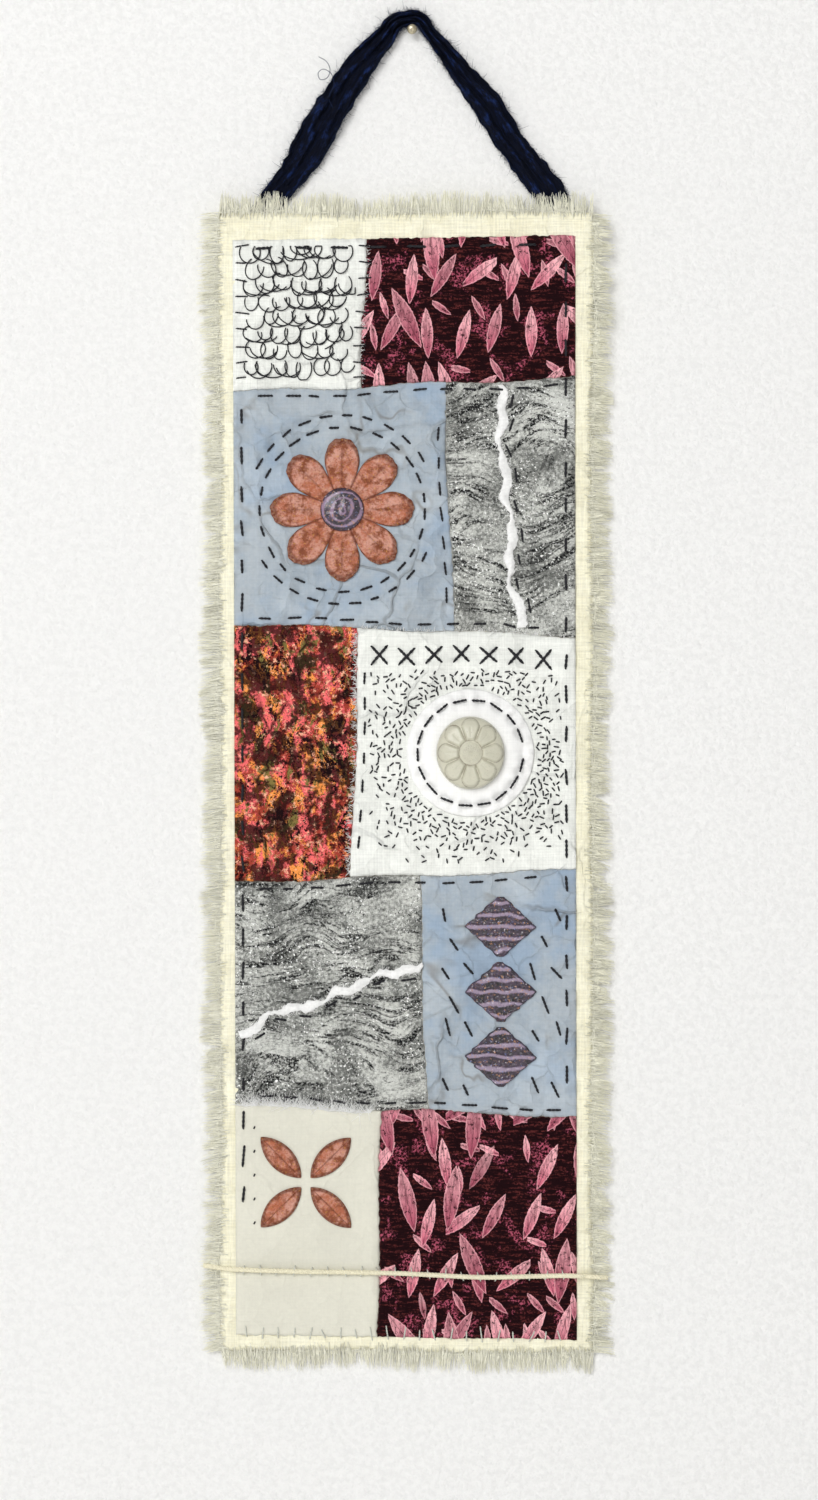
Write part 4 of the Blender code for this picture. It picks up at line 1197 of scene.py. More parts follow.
def make_selvedge():
    """The last threads along the edges, loose where the weave has come away."""
    points, edges = [], []
    rng = default_rng(40)
    for edge, (out_x, out_z), length in FRINGES.values():
        for lane, offset in enumerate(SELVEDGE_LANES):
            begin = rng.uniform(0, 0.01)
            while begin < 1:
                end = min(begin + rng.uniform(0.006, 0.06) * (2 - 0.5 * lane), 1)
                share = linspace(begin, end, max(round((end - begin) * length / 0.0009), 4))
                x, z = edge(share)
                away = offset + 0.00045 * ripple(share * length, 0, 0.007, 50 + lane)
                away = away + 0.0008 * np.abs(linspace(-1, 1, len(share))) ** 3 * rng.uniform(-0.6, 1.4)
                x, z = x + out_x * away, z + out_z * away
                off = hang(x, z) + 0.0014 + 0.00035 * ripple(share * length, 0, 0.003, 60 + lane)
                edges += chain(len(points), len(points) + len(share))
                points += stack(x, off, z).tolist()
                begin = end + rng.uniform(0.001, 0.03) * (1 + lane)
    grow("edge_threads", laid_thread, points, edges, slot="ravelled_thread", Radius=0.00014, Sides=4,
         Material=bpy.data.materials["ravelled thread"])


def make_patch_looks(hues):
    """A material for each kind of patch, named as its slot."""
    blue_shade = tuple(share * part for share, part in zip((0.8, 0.86, 0.93), hues.blue))
    cloth_material("plain cream cloth", plain_paint(hues.cream, dim(hues.cream, 0.92), crease=0.0014), 0.0004,
                   0.06)
    # The muslin is painted grey along its creases: painted shade.
    muslin = plain_paint(hues.muslin, dim(hues.muslin, 0.9), 70, 0.004, (0.5, 0.51, 0.5), 0.3)
    cloth_material("white muslin", muslin, 0.0006, 0.3, 4e-5, raw=WHITE_RAW, frayed=0.7)
    # The blue is painted dark along its creases: painted shade.
    cloth_material("blue cloth", plain_paint(hues.blue, blue_shade, 40, 0.0048, (0.2, 0.2, 0.19), 0.42,
                                             (0.17, 0.14, 0.1), (0.3, 0.4, 0.53)), 0.00045)
    cloth_material("grey print", grey_paint(hues.grey, hues.charcoal))
    cloth_material("maroon print", leaf_paint(hues.maroon, (0.1, 0.02, 0.02), hues.pink, (1, 0.52, 0.56)),
                   raw=(0.2, 0.08, 0.08), specular=0.08)
    cloth_material("rust print", batik_paint((0.01, 0.003, 0.004), hues.rust, (0.9, 0.155, 0.16),
                                             (0.95, 0.33, 0.08), (0.22, 0.17, 0.05)),
                   raw=(0.25, 0.1, 0.06), specular=0.08)


def make_patches(sizes, hues):
    """The ten raw-edged pieces of the panel."""
    make_patch_looks(hues)
    bold = [s for _, stitches, _ in stitch_plan(sizes) for s in stitches]
    made = []
    for row, (*names, _, _, foot, _) in enumerate(PATCH_ROWS):
        for on_right, name in enumerate(names):
            slot = PATCH_CLOTH[name]
            look = bpy.data.materials[slot.replace("_", " ")]
            depth, fine_depth, fine_length = OWN_CREASES.get(name, CLOTH_CREASES[slot])
            wide = PANEL_WIDTH - foot if on_right else foot
            tall = float(seam_height(row, 0) - seam_height(row - 1, 0))
            s, t = np.meshgrid(even(wide, sizes.cell), even(tall, sizes.cell))
            u, v = patch_place(row, on_right, s, t)
            x, z = on_panel(u, v)
            away = from_rim(s, t, wide, tall)
            seed = 100 + 2 * row + on_right
            crumple = 0.5 + 0.5 * sum(share * sin(TAU * (u / across + v / up) + turn)
                                      for share, across, up, turn in CRUMPLES)
            for share, rim in zip((s, t), CRUMPLE_RIM):
                crumple = crumple * smooth(0, rim, minimum(share, 1 - share))
            folds = fold_lines(x, z, fine_length, seed) + 0.6 * fold_lines(x, z, 0.5 * fine_length, seed + 40)
            relief = stillness(u, v) * (depth * crumple + fine_depth * folds * smooth(0, 0.006, away))
            curl = sizes.curl * clip(ripple(u, v, 0.018, seed + 20), 0, 1) * (1 - smooth(0, 0.003, away))
            base = hang(x, z)
            front = base + front_of(PATCH, away) + relief + curl - dimples(x, z, bold)
            back = minimum(base + PATCH[0] + 0.8 * curl + 0.5 * relief, front - 0.0003)
            piece = lay_sheet("patch_cloth_" + name, x, z, front, back, look, slot, "patch_" + name,
                              edge=1 - smooth(0, 0.0016, away))
            made.append((piece, wide, tall))
    return made


def make_torn_strips(sizes, hues):
    """Torn white edges laid over two patches."""
    look = cloth_material("torn white cloth", plain_paint(hues.white, dim(hues.white, 0.8), 130, 0.0012),
                          relief=4e-5, raw=WHITE_RAW)
    made = []
    for number, (name, row) in enumerate(TORN_EDGES.items()):
        length = math.dist(*row[:2])
        s, t = np.meshgrid(linspace(0, 1, 9), even(length, 0.4 * sizes.cell))
        across = 2 * s - 1
        ragged = ripple(t * length, np.round(s) * 0.02, 0.0021, 70 + number, 24)
        ragged = 0.00026 * ragged * np.abs(across) ** 3
        u, v = on_torn_edge(row, t, across, ragged * across)
        x, z = on_panel(u, v)
        away = from_rim(s, t, TORN_SHARE * row[2], length)
        base = hang(x, z)
        lift = 0.00026 * clip(ripple(u, v, 0.006, 75 + number), -0.5, 1.5) + 0.0001 * ripple(u, v, 0.0018, 77)
        front = base + front_of(APPLIED, away, 0.0012) + maximum(lift, -0.0001)
        made += [lay_sheet(name.replace("edge", "strip"), x, z, front, base + APPLIED[0], look,
                           "torn_white_cloth", name, edge=1 - smooth(0, 0.001, away))]
    return made


def lay_shape(name, middle, outline, rise, back, look, slot, node, rings, spokes, **marks):
    """A round piece on the panel. outline(angle) gives its rim from its middle, rise(r, angle, u, v) its
    front above the hang of the cloth, and each mark(r, angle) an attribute."""
    angle, r = np.meshgrid(linspace(0, TAU, spokes, endpoint=False), linspace(0, 1, rings + 1) ** 0.85)
    du, dv = outline(angle)
    u, v = middle[0] + r * du, middle[1] + r * dv
    x, z = on_panel(u, v)
    base = hang(x, z)
    attributes = {mark: make(r, angle) for mark, make in marks.items()}
    mesh = closed_disc(stack(x, base + rise(r, angle, u, v), z), stack(x, base + back, z), **attributes)
    return settle(add_object(name, mesh, look), slot, node)


def circle(radius, squash=1.0):
    return lambda angle: (radius * cos(angle), squash * radius * sin(angle))


def bulge(r):
    """1 in the middle of a round piece and 0 at its rim, as a ball is."""
    return np.sqrt(maximum(1 - r * r, 0))


def make_flower(hues):
    """Eight coral petals cut in one, and a glossy domed centre."""
    look = cloth_material("coral print", coral_paint(hues.coral, (0.62, 0.33, 0.26), (0.12, 0.03, 0.018)),
                          0.00045, raw=(0.5, 0.3, 0.22))
    middle, radius, petals, notch = FLOWER.values()

    def outline(angle):
        reach = radius * (1 - notch + notch * np.sqrt(np.abs(cos(petals * angle / 2))))
        ragged = 1 + 0.008 * sin(23 * angle) + 0.006 * sin(57 * angle + 1)
        return reach * ragged * cos(angle), reach * ragged * sin(angle)

    def groove(r, angle):
        """Between the petals, and a rib down each petal."""
        gap = hump(cos(petals * angle / 2), 0.16) * smooth(0.3, 0.6, r)
        rib = hump(sin(petals * angle / 2), 0.1) * smooth(0.3, 0.5, r) * (1 - smooth(0.75, 0.95, r))
        return clip(gap + 0.6 * rib, 0, 1)

    def rise(r, angle, u, v):
        cup = 0.00055 * np.abs(cos(petals * angle / 2)) * smooth(0.35, 0.85, r)
        lift = 0.00018 * ripple(u, v, 0.013, 80) * smooth(0.6, 1, r)
        rim = mix(APPLIED[1], APPLIED[2], smooth(0.9, 1, r))
        return maximum(rim + cup + lift - 0.0003 * groove(r, angle), APPLIED[0] + 0.0003)

    def dome(r, angle, u, v):
        pebbles = 0.00016 * ripple(u, v, 0.0028, 81) * (1 - r)
        return CENTRE["back"] + 0.0006 + CENTRE["dome"] * bulge(r) * 0.8 + pebbles

    # Rings on the centre along which the purple paint lays its painted highlight; the dome has no such rings.
    def ridge(r, angle):
        return 0.5 - 0.5 * cos(TAU * (3 * r + 0.2 * sin(2 * angle + 5 * r)))
    flower = lay_shape("flower_petals_cloth", middle, outline, rise, APPLIED[0], look, "coral_print",
                       "flower_petals", 26, 240, edge=lambda r, angle: smooth(0.8, 1, r), groove=groove)
    # The centre's second purple is the colour of its painted highlight.
    lay_shape("flower_centre_cloth", middle, circle(CENTRE["radius"]), dome, CENTRE["back"] + 0.0002,
              new_material("purple centre cloth", purple_paint(hues.purple, (0.3, 0.2, 0.3)), 0.3, coat=0.5),
              "purple_gloss_cloth", "flower_centre", 12, 64, ridge=ridge)
    return flower


def make_padded_round(hues):
    """The stuffed white circle, drawn in at its rim by stitches and sunk under the button."""
    look = cloth_material("padded white cloth", plain_paint(hues.white, dim(hues.white, 0.95), crease=0.0004),
                          0.00045, relief=0.000025, raw=WHITE_RAW)

    def rise(r, angle, u, v):
        phase = 22 * angle + 1.3 * sin(3 * angle) + 0.8 * sin(7 * angle + 1)
        gather = 0.00042 * cos(phase) * smooth(0.64, 0.84, r) * (1 - smooth(0.95, 1, r))
        full = mix(APPLIED[0] + 0.0005, PAD["crown"], np.sqrt(maximum(1 - smooth(PAD["flat"], 1, r), 0)))
        sunk = (PAD["crown"] - PAD["under_button"]) * (1 - smooth(0.42, 0.6, r))
        stitched = hump(r - PAD_RING, 0.055) * (0.00095 + 0.0004 * cos(18 * angle))
        return full - sunk - stitched + gather + 0.00016 * ripple(u, v, 0.009, 90)
    lay_shape("padded_circle", PAD["middle"], circle(PAD["radius"]), rise, APPLIED[0], look,
              "padded_white_cloth", "padded_round", 34, 220, edge=lambda r, angle: 0 * r)


def make_cabochon(hues):
    """The glazed button: a domed oval with a daisy moulded in it."""
    look = new_material("ivory glaze", ceramic_paint(hues.glaze, (0.17, 0.135, 0.085)), 0.42, coat=0.12,
                        specular=0.35)
    half_width, half_height, back, side, dome = CABOCHON.values()
    petals, relief, eye, inner, outer, eye_rim = DAISY.values()

    def into_petal(r, angle):
        """Distance into a petal, in shares of the button's radius."""
        share = np.abs(cos(petals * angle / 2))
        tip = (outer - 0.3 + 0.3 * share ** 0.55) - r
        return minimum(minimum((share - 0.2) * r * 0.34, tip), r - inner)

    def rise(r, angle, u, v):
        petal = relief * smooth(-0.02, 0.07, into_petal(r, angle))
        rib = 0.00016 * hump(sin(petals * angle / 2), 0.16) * smooth(0.4, 0.5, r) * (r < 0.72)
        pits = 0.00014 * sin(15 * angle) * sin(TAU * r / 0.11) * (1 - smooth(0.2, 0.28, r))
        uneven = 0.00012 * ripple(u, v, 0.009, 95)
        body = side * bulge(smooth(0.93, 1, r)) + dome * bulge(r)
        return back + 0.0003 + body + petal - rib + eye * bulge(r / eye_rim) + pits + uneven

    def hollow(r, angle):
        return clip(0.72 * hump(into_petal(r, angle) + 0.008, 0.026) + 0.25 * (r < eye_rim - 0.05), 0, 1)
    lay_shape("ceramic_button", PAD["middle"], circle(half_width, half_height / half_width), rise, back, look,
              "ivory_ceramic", "ceramic_cabochon", 46, 208, hollow=hollow)


def make_peels():
    """Four pointed ovals of coral print set crosswise."""
    look = bpy.data.materials["coral print"]
    middle, count, length, width, inner = PEELS.values()

    def rib(r, angle):
        return hump(r * sin(angle), 0.1) * (1 - smooth(0.8, 1, r))

    def rise(r, angle, u, v):
        rim = mix(APPLIED[1], APPLIED[2], smooth(0.8, 1, r))
        return rim + 0.0002 * (1 - r) - 0.00025 * rib(r, angle) + 0.0001 * ripple(u, v, 0.008, 95)
    made = []
    for k in range(count):
        turn = TAU * (k + 0.5) / count
        way_u, way_v = math.cos(turn), math.sin(turn)
        own = (middle[0] + (inner + length) * way_u, middle[1] + (inner + length) * way_v)

        def outline(angle, way_u=way_u, way_v=way_v):
            lengthwise = length * cos(angle)
            sideways = width * sin(angle) * np.abs(sin(angle)) ** PEEL_POINT
            return lengthwise * way_u - sideways * way_v, lengthwise * way_v + sideways * way_u
        name = f"peel_{k + 1}"
        made += [lay_shape(name + "_cloth", own, outline, rise, APPLIED[0], look, "coral_print", name, 12, 72,
                           edge=lambda r, angle: smooth(0.55, 1, r),
                           groove=lambda r, angle: 0.8 * rib(r, angle))]
    return made


def make_lozenges(hues):
    """Diamonds of glossy ridged cloth with ragged sides."""
    # The second purple is the colour of the painted highlight on the ridges.
    look = new_material("ridged purple cloth", purple_paint(hues.purple, (0.34, 0.26, 0.36)), 0.3, coat=0.5)
    middle_u, middles_v, wide, tall, ridges = LOZENGES.values()
    made = []
    for k, middle_v in enumerate(middles_v):
        s, t = np.meshgrid(even(2 * wide, 0.0006), even(2 * tall, 0.0004))
        across, up = 2 * s - 1, 2 * t - 1
        ragged = 0.0004 * ripple(np.round(s) * 0.03, t * 2 * tall, 0.003, 110 + k, 20) * np.abs(across) ** 4
        half = LOZENGE_TIP + (wide - LOZENGE_TIP) * (1 - np.abs(up)) + ragged
        x, z = on_panel(middle_u + across * half, middle_v + up * tall)
        wander = 0.1 * ripple(x, z, 0.011, 115 + k)
        ridge = (0.5 - 0.5 * cos(TAU * (ridges * t + wander))) ** 1.4
        rim = smooth(0, 0.0009, from_rim(s, t, 2 * half, 2 * tall))
        base = hang(x, z)
        rough = 0.00012 * ripple(x, z, 0.0016, 120 + k)
        front = base + mix(APPLIED[2], APPLIED[1] + 0.0007 * ridge + rough, rim)
        name = f"lozenge_{k + 1}"
        made += [lay_sheet(name + "_cloth", x, z, front, base + APPLIED[0], look, "purple_gloss_cloth", name,
                           ridge=ridge * rim)]
    return made


def ribbon_rows(steps):
    """Sections of the ribbon (x, z, width, thickness, off), and the way across each (x, z)."""
    rows = curve_through(RIBBON, steps)
    way = np.gradient(rows[:, :2], axis=0)
    way /= np.linalg.norm(way, axis=1, keepdims=True)
    return rows, np.stack([-way[:, 1], way[:, 0]], 1)


def make_ribbon(hues):
    """The torn strip over the nail, crumpled into lengthwise folds."""
    rows, aside = ribbon_rows(11)
    p, d = np.meshgrid(linspace(-1, 1, 49), lengths_along(rows[:, :2]))
    x, z, width, thickness, off = (column[:, None] for column in rows.T)
    height, lean = 0, 0
    for number, (share, folds, depth, length, turn) in enumerate(RIBBON_FOLDS):
        drift = depth * sin(TAU * d / length + turn) + 0.16 * ripple(d, 0, 0.024, 130 + number)
        angle = TAU * (folds * p + drift)
        height = height + share * sin(angle)
        lean = lean + share * 0.05 * cos(angle)
    height = height + 0.34 * ripple(p * 0.006, d, 0.006, 133) + 0.16 * ripple(p * 0.006, d, 0.0026, 135)
    height = clip(np.tanh(1.15 * height * (1 - 0.3 * np.abs(p) ** 6)) / math.tanh(1.6), -1, 1)
    ragged = sum(depth * ripple(d, np.sign(p) * 0.05, length, seed, 20)
                 for depth, length, seed in ((0.05, 0.0065, 134), (0.015, 0.002, 136)))
    reach = (p * (1 + ragged * np.abs(p) ** 3) + lean * (1 - p ** 2)) * width / 2
    room = (thickness - RIBBON_SHEET) / 2 - 0.0001
    points = stack(x + aside[:, :1] * reach, off + height * room, z + aside[:, 1:] * reach).reshape(-1, 3)
    face = squares(arange(len(points)).reshape(p.shape))
    # Each point carries how far it stands out on its fold, where the material paints its highlight.
    mesh = mesh_of(points, face.tolist(), crest=0.5 + 0.5 * np.ravel(height), edge=np.zeros(len(points)))
    corners = np.empty(len(mesh.loops), np.int32)
    mesh.loops.foreach_get("vertex_index", corners)
    flat = np.stack([np.ravel(d)[corners], 0.012 * np.ravel(p)[corners]], 1)
    mesh.uv_layers.new(name="Cloth").data.foreach_set("uv", flat.astype(np.float32).ravel())
    # The second colour is the pale blue of the painted highlight.
    look = cloth_material("navy cloth", ribbon_paint(hues.navy, (0.01, 0.026, 0.11)), 0.0004, relief=3e-5,
                          roughness=0.8, flat=False, specular=0.12)
    piece = add_object("ribbon_cloth", mesh, look)
    thicken = piece.modifiers.new("Thickness", "SOLIDIFY")
    thicken.thickness = RIBBON_SHEET
    thicken.offset = 0
    settle(piece, "navy_cloth", "hanger_ribbon")


def make_ribbon_fray():
    """Fibres out of the ribbon's torn edges, and the thread that has come loose from it."""
    rows, aside = ribbon_rows(60)
    rng = default_rng(140)
    points, ways = [], []
    for edge in (-1, 1):
        for k in np.sort(rng.integers(0, len(rows), 1400)):
            x, z, width, thickness, off = rows[k]
            if z < CLOTH_CORNERS["top_left"][1] + 0.004:
                continue
            side = edge * aside[k]
            flat = side + rng.normal(0, 1.6) * np.array([-side[1], side[0]])
            reach = rng.uniform(0.0006, 0.0019) if rng.random() < 0.93 else rng.uniform(0.0019, 0.0046)
            at_x, at_z = (x, z) + side * width / 2 * rng.uniform(0.86, 0.97)
            points.append((at_x, -off - rng.uniform(-0.2, 0.4) * thickness / 2, at_z))
            way_x, way_z = reach * flat / np.linalg.norm(flat)
            ways.append((way_x, rng.normal(0, 0.25) * reach, way_z))
    look = thread_material("navy fibre", (0.01, 0.018, 0.055), roughness=0.7)
    grow("ribbon_fray", loose_strands, points, (), {"way": ways}, "navy_cloth", Radius=0.000055, Segments=4,
         Wander=0.0009, Crinkle=560.0, Material=look)
    x, z, off = curve_through(LOOSE_THREAD, 8).T
    grow("loose_thread", laid_thread, stack(x, off, z), chain(0, len(x)), slot="navy_cloth", Radius=0.00012,
         Sides=5, Material=look)


def make_nail():
    """The nail, turned about an axis that droops from the wall."""
    spokes = 28
    way = np.array([0, -math.cos(NAIL_DROOP), -math.sin(NAIL_DROOP)])
    upward = np.array([0, -math.sin(NAIL_DROOP), math.cos(NAIL_DROOP)])
    distance, radius = curve_through(NAIL_PROFILE, 3).T
    angle = linspace(0, TAU, spokes, endpoint=False)
    rim = cos(angle)[:, None] * np.array([1, 0, 0]) + sin(angle)[:, None] * upward
    rings = distance[:, None, None] * way + maximum(radius, 0)[:, None, None] * rim
    rings[0] -= way * (rings[0][:, 1:2] / way[1])
    points = np.concatenate([rings[:-1].reshape(-1, 3), [[0, 0, 0]], [way * distance[-1]]])
    rear, tip = len(points) - 2, len(points) - 1
    index = arange(rear).reshape(-1, spokes)
    beside = np.roll(index, -1, 1)
    faces = squares(index, beside)[:, ::-1].tolist()
    faces += [(b, a, rear) for a, b in zip(index[0].tolist(), beside[0].tolist())]
    faces += [(tip, a, b) for a, b in zip(index[-1].tolist(), beside[-1].tolist())]
    mesh = mesh_of(points, faces)
    mesh.set_sharp_from_angle(angle=math.radians(40))
    settle(add_object("nail_steel", mesh, new_material("brass-washed steel", steel_paint, 0.4, 0.9)),
           "nail_steel", "nail")


def cord_off(x, z):
    """The cord lies on the panel, steps down to the border and dips through the fringe at its ends."""
    on_border = hang(x, z) + 0.0018 + SEAM_GAP
    bed = on_border + (SEAM_GAP + 0.001) * smooth(*CORD_STEP, inward(PANEL_CORNERS, x))
    past = -inward(CLOTH_CORNERS, x) - 0.001 - SEAM_GAP
    return bed + CORD_RADIUS - CORD_DIP_DEPTH * smooth(*CORD_DIP, past)


def make_cord(sizes, hues):
    """The twisted cotton cord."""
    x, z = curve_through(CORD_ROUTE, 12).T
    look = thread_material("cotton cord", hues.cord, roughness=0.85, twist=1800.0)
    grow("cotton_cord", twisted_cord, stack(x, cord_off(x, z), z), chain(0, len(x)), None, "cotton_cord",
         "couched_cord", Radius=CORD_RADIUS, Pitch=sizes.cord_pitch, Material=look)


# Sewing: every stitch is a pair of places on the panel, (u, v) to (u, v)


def dash(u, v, du, dv):
    """A stitch by its middle and half its length."""
    return u - du, v - dv, u + du, v + dv


def running(path, length, pitch, seed, uneven=0.12):
    """Running stitches along a line of places."""
    rng = default_rng(seed)
    path = np.array(path, float)
    reach = lengths_along(path)
    made = []
    place = 0.35 * pitch
    while place + length < reach[-1]:
        own = length * (1 + uneven * rng.normal())
        (u0, u1), (v0, v1) = (np.interp((place, place + own), reach, column) for column in path.T)
        tilt = rng.normal(0, 0.03)
        tilt_u, tilt_v = (v0 - v1) * tilt, (u1 - u0) * tilt
        made.append((u0 + tilt_u, v0 + tilt_v, u1 - tilt_u, v1 - tilt_v))
        place += pitch * (1 + uneven * rng.normal() * 0.6)
    return made


def arc(middle, radius, start=0, end=TAU):
    turns = linspace(start, end, 120)
    return [(middle[0] + radius * math.cos(turn), middle[1] + radius * math.sin(turn)) for turn in turns]


def sew(name, stitches, front, look, thickness, arch=0.45, lift=0.0, slot=None, **detail):
    """Lays stitches, each (u, v, u, v), on what they cross."""
    outward = Vector((0, -1, 0))
    points, ways, outs = [], [], []
    for u0, v0, u1, v1 in stitches:
        first, second = front.on(u0, v0), front.on(u1, v1)
        centre = (first + second) / 2
        raised = max(centre.y - front.at(centre.x, centre.z).y, 0) * 0.6
        points.append(centre + outward * (lift + raised))
        ways.append(STITCH_DIVE * (second - first))
        along = ways[-1].normalized()
        outs.append((outward - along * along.dot(outward)).normalized())
    grow(name, straight_stitches, points, (), {"way": ways, "out": outs}, slot, Thickness=thickness,
         Arch=arch, Material=look, **detail)


def slant_stitches():
    """Staggered leaning stitches over the lower blue patch, clear of the lozenges."""
    rng = default_rng(150)
    middle_u, middles_v, wide, tall, _ = LOZENGES.values()
    made = []
    for row, v in enumerate(arange(0.093, 0.166, 0.0105)):
        for u in arange(0.0775 + 0.004 * (row % 2), 0.119, 0.0082):
            u, w = u + rng.normal(0, 0.0008), v + rng.normal(0, 0.0007)
            if min(abs(u - middle_u) / wide + abs(w - m) / tall for m in middles_v) > 1.42:
                made.append(dash(u, w, rng.normal(-0.0011, 0.0004), rng.uniform(0.0016, 0.0029)))
    return made


def cross_stitches():
    """A row of crosses along the head of the muslin patch."""
    rng = default_rng(151)
    made = []
    for u in linspace(0.0535, 0.114, 7):
        v = seam_height(2, u) - 0.0088 + rng.normal(0, 0.0003)
        half_u, half_v = rng.uniform(0.0024, 0.0029), rng.uniform(0.0027, 0.0032)
        made.append(dash(u, v, half_u, half_v))
        made.append((u - half_u, v + half_v, u + half_u, v - half_v + rng.normal(0, 0.0003)))
    return made


def seed_stitches(count):
    """Short stitches at all angles round the padded circle, sparse away from it."""
    rng = default_rng(152)
    left = split(2, 0.5) + 0.0045
    made, kept = [], []
    while len(made) < count:
        angle = rng.uniform(0, TAU)
        reach = PAD["radius"] + 0.0014 + rng.exponential(0.0078)
        u, v = PAD["middle"][0] + reach * math.cos(angle), PAD["middle"][1] + reach * math.sin(angle)
        low, high = seam_height(1, u) + 0.0045, seam_height(2, u) - 0.0145
        if not (left < u < PANEL_WIDTH - 0.0052 and low < v < high):
            count -= 0.35
        elif any(math.hypot(u - a, v - b) < 0.0014 for a, b in kept):
            count -= 0.08
        else:
            kept.append((u, v))
            turn, half = rng.uniform(0, TAU), rng.uniform(0.00055, 0.00095)
            made.append(dash(u, v, half * math.cos(turn), half * math.sin(turn)))
    return made


def ring_stitches():
    """Echo lines round the flower, and the ring that holds the padded circle."""
    high_u = split(3, 0.5) - 0.0085
    made = []
    for number, gap in enumerate((0.004, 0.0085)):
        echo = arc(FLOWER["middle"], FLOWER["radius"] + gap)
        for u0, v0, u1, v1 in running(echo, 0.0036, 0.0078, 160 + number):
            if 0.0085 < (u0 + u1) / 2 < high_u and 0.2695 < (v0 + v1) / 2 < 0.345:
                made.append((u0, v0, u1, v1))
    ring = arc(PAD["middle"], PAD_RING * PAD["radius"], 0.1, TAU + 0.1)
    return made + running(ring, 0.0042, 0.0069, 162, 0.06)


def edge_bars():
    """Short bars over the sides of the white top patch."""
    rng = default_rng(153)
    made = []
    for t in arange(0.06, 0.97, 0.112):
        u = split(4, t)
        v = mix(seam_height(3, u), PANEL_HEIGHT, t) + rng.normal(0, 0.0004)
        made.append((u - 0.0026, v, u + 0.0018, v + rng.normal(0, 0.0004)))
        made.append((0.0014, v, 0.0014 + rng.uniform(0.003, 0.0045), v + rng.normal(0, 0.0004)))
    return made


def stitch_plan(sizes):
    """The dark stitches that draw the cloth in: name, stitches and thickness of the thread."""
    def along(lines, length, pitch, seed):
        return [s for number, line in enumerate(lines) for s in running(line, length, pitch, seed + number)]
    left, right, top = SIDE_INSETS[0], PANEL_WIDTH - SIDE_INSETS[1], PANEL_HEIGHT - SIDE_INSETS[2]
    sides = [[(left, 0.045), (left, seam_height(3, 0) - 0.003)],
             [(right, 0.09), (right, PANEL_HEIGHT - 0.002)],
             [(0.004, top), (PANEL_WIDTH - 0.004, top)]]
    u, t = linspace(0.006, PANEL_WIDTH - 0.006, 80), linspace(0.08, 0.92, 40)
    seams = [np.stack([u, seam_height(row, u) + inset], 1) for row, inset in LEVEL_SEWING]
    seams += [np.stack(beside_split(row, t, inset), 1) for row, inset in UPRIGHT_SEWING]
    t = linspace(0.02, 0.98, 50)
    torn = [np.stack(on_torn_edge(row, t, 1, 0.0018), 1) for row in TORN_EDGES.values()]
    return [
        ("running_stitches", along(sides, sizes.running, sizes.running_pitch, 170), 1),
        ("seam_stitches", along(seams, 0.8 * sizes.running, 0.7 * sizes.running_pitch, 180), 0.85),
        ("slant_stitches", slant_stitches(), 0.95),
        ("cross_stitches", cross_stitches(), 1.1),
        ("ring_stitches", ring_stitches(), 0.9),
        ("torn_stitches", along(torn, 0.0042, 0.0102, 165), 0.85),
        ("edge_bars", edge_bars(), 0.6),
    ]


def couching_stitches():
    """Small pale stitches over the cord."""
    rng = default_rng(155)
    route = curve_through(CORD_ROUTE, 12)
    left = within(PANEL_CORNERS, 0, 0.06)[0]
    made = []
    for x in arange(-0.062, 0.0575, 0.0062):
        u = x - left
        v = np.interp(x, *route.T) - within(PANEL_CORNERS, u / PANEL_WIDTH, 0)[1]
        slant = rng.normal(0, 0.0004)
        made.append((u - slant, v - 0.0014, u + slant, v + 0.0016 + rng.normal(0, 0.0003)))
    return made


def make_sewing(sizes, hues):
    """All the dark and pale stitches."""
    front = sheet_front()
    ink = thread_material("dark thread", hues.ink, roughness=0.6, twist=3000.0, specular=0.3)
    pale = thread_material("pale thread", (0.66, 0.67, 0.6), roughness=0.7)
    for name, stitches, share in stitch_plan(sizes):
        sew(name, stitches, front, ink, share * sizes.heavy, arch=0.4)
    single = {"Strands": 1, "Twist": 0.0}
    dots = [(0.0068, v, 0.0068 + 0.0004, v + 0.0008) for v in arange(0.0415, 0.08, 0.0088)]
    seeds = seed_stitches(sizes.seeds) + dots
    sew("seed_stitches", seeds, front, ink, 1.2 * sizes.light, Segments=6, **single)
    rng = default_rng(154)
    whips = [(u, -0.0007 + rng.normal(0, 0.0003), u + rng.normal(0, 0.0008), 0.0029 + rng.normal(0, 0.0004))
             for u in arange(0.004, PANEL_WIDTH - 0.003, 0.0058)]
    sew("foot_stitches", whips, front, pale, 1.3 * sizes.light, lift=0.0001, slot="ravelled_thread")
    sew("couching_stitches", couching_stitches(), front, pale, sizes.light, arch=3.6, slot="ravelled_thread",
        Segments=12, **single)


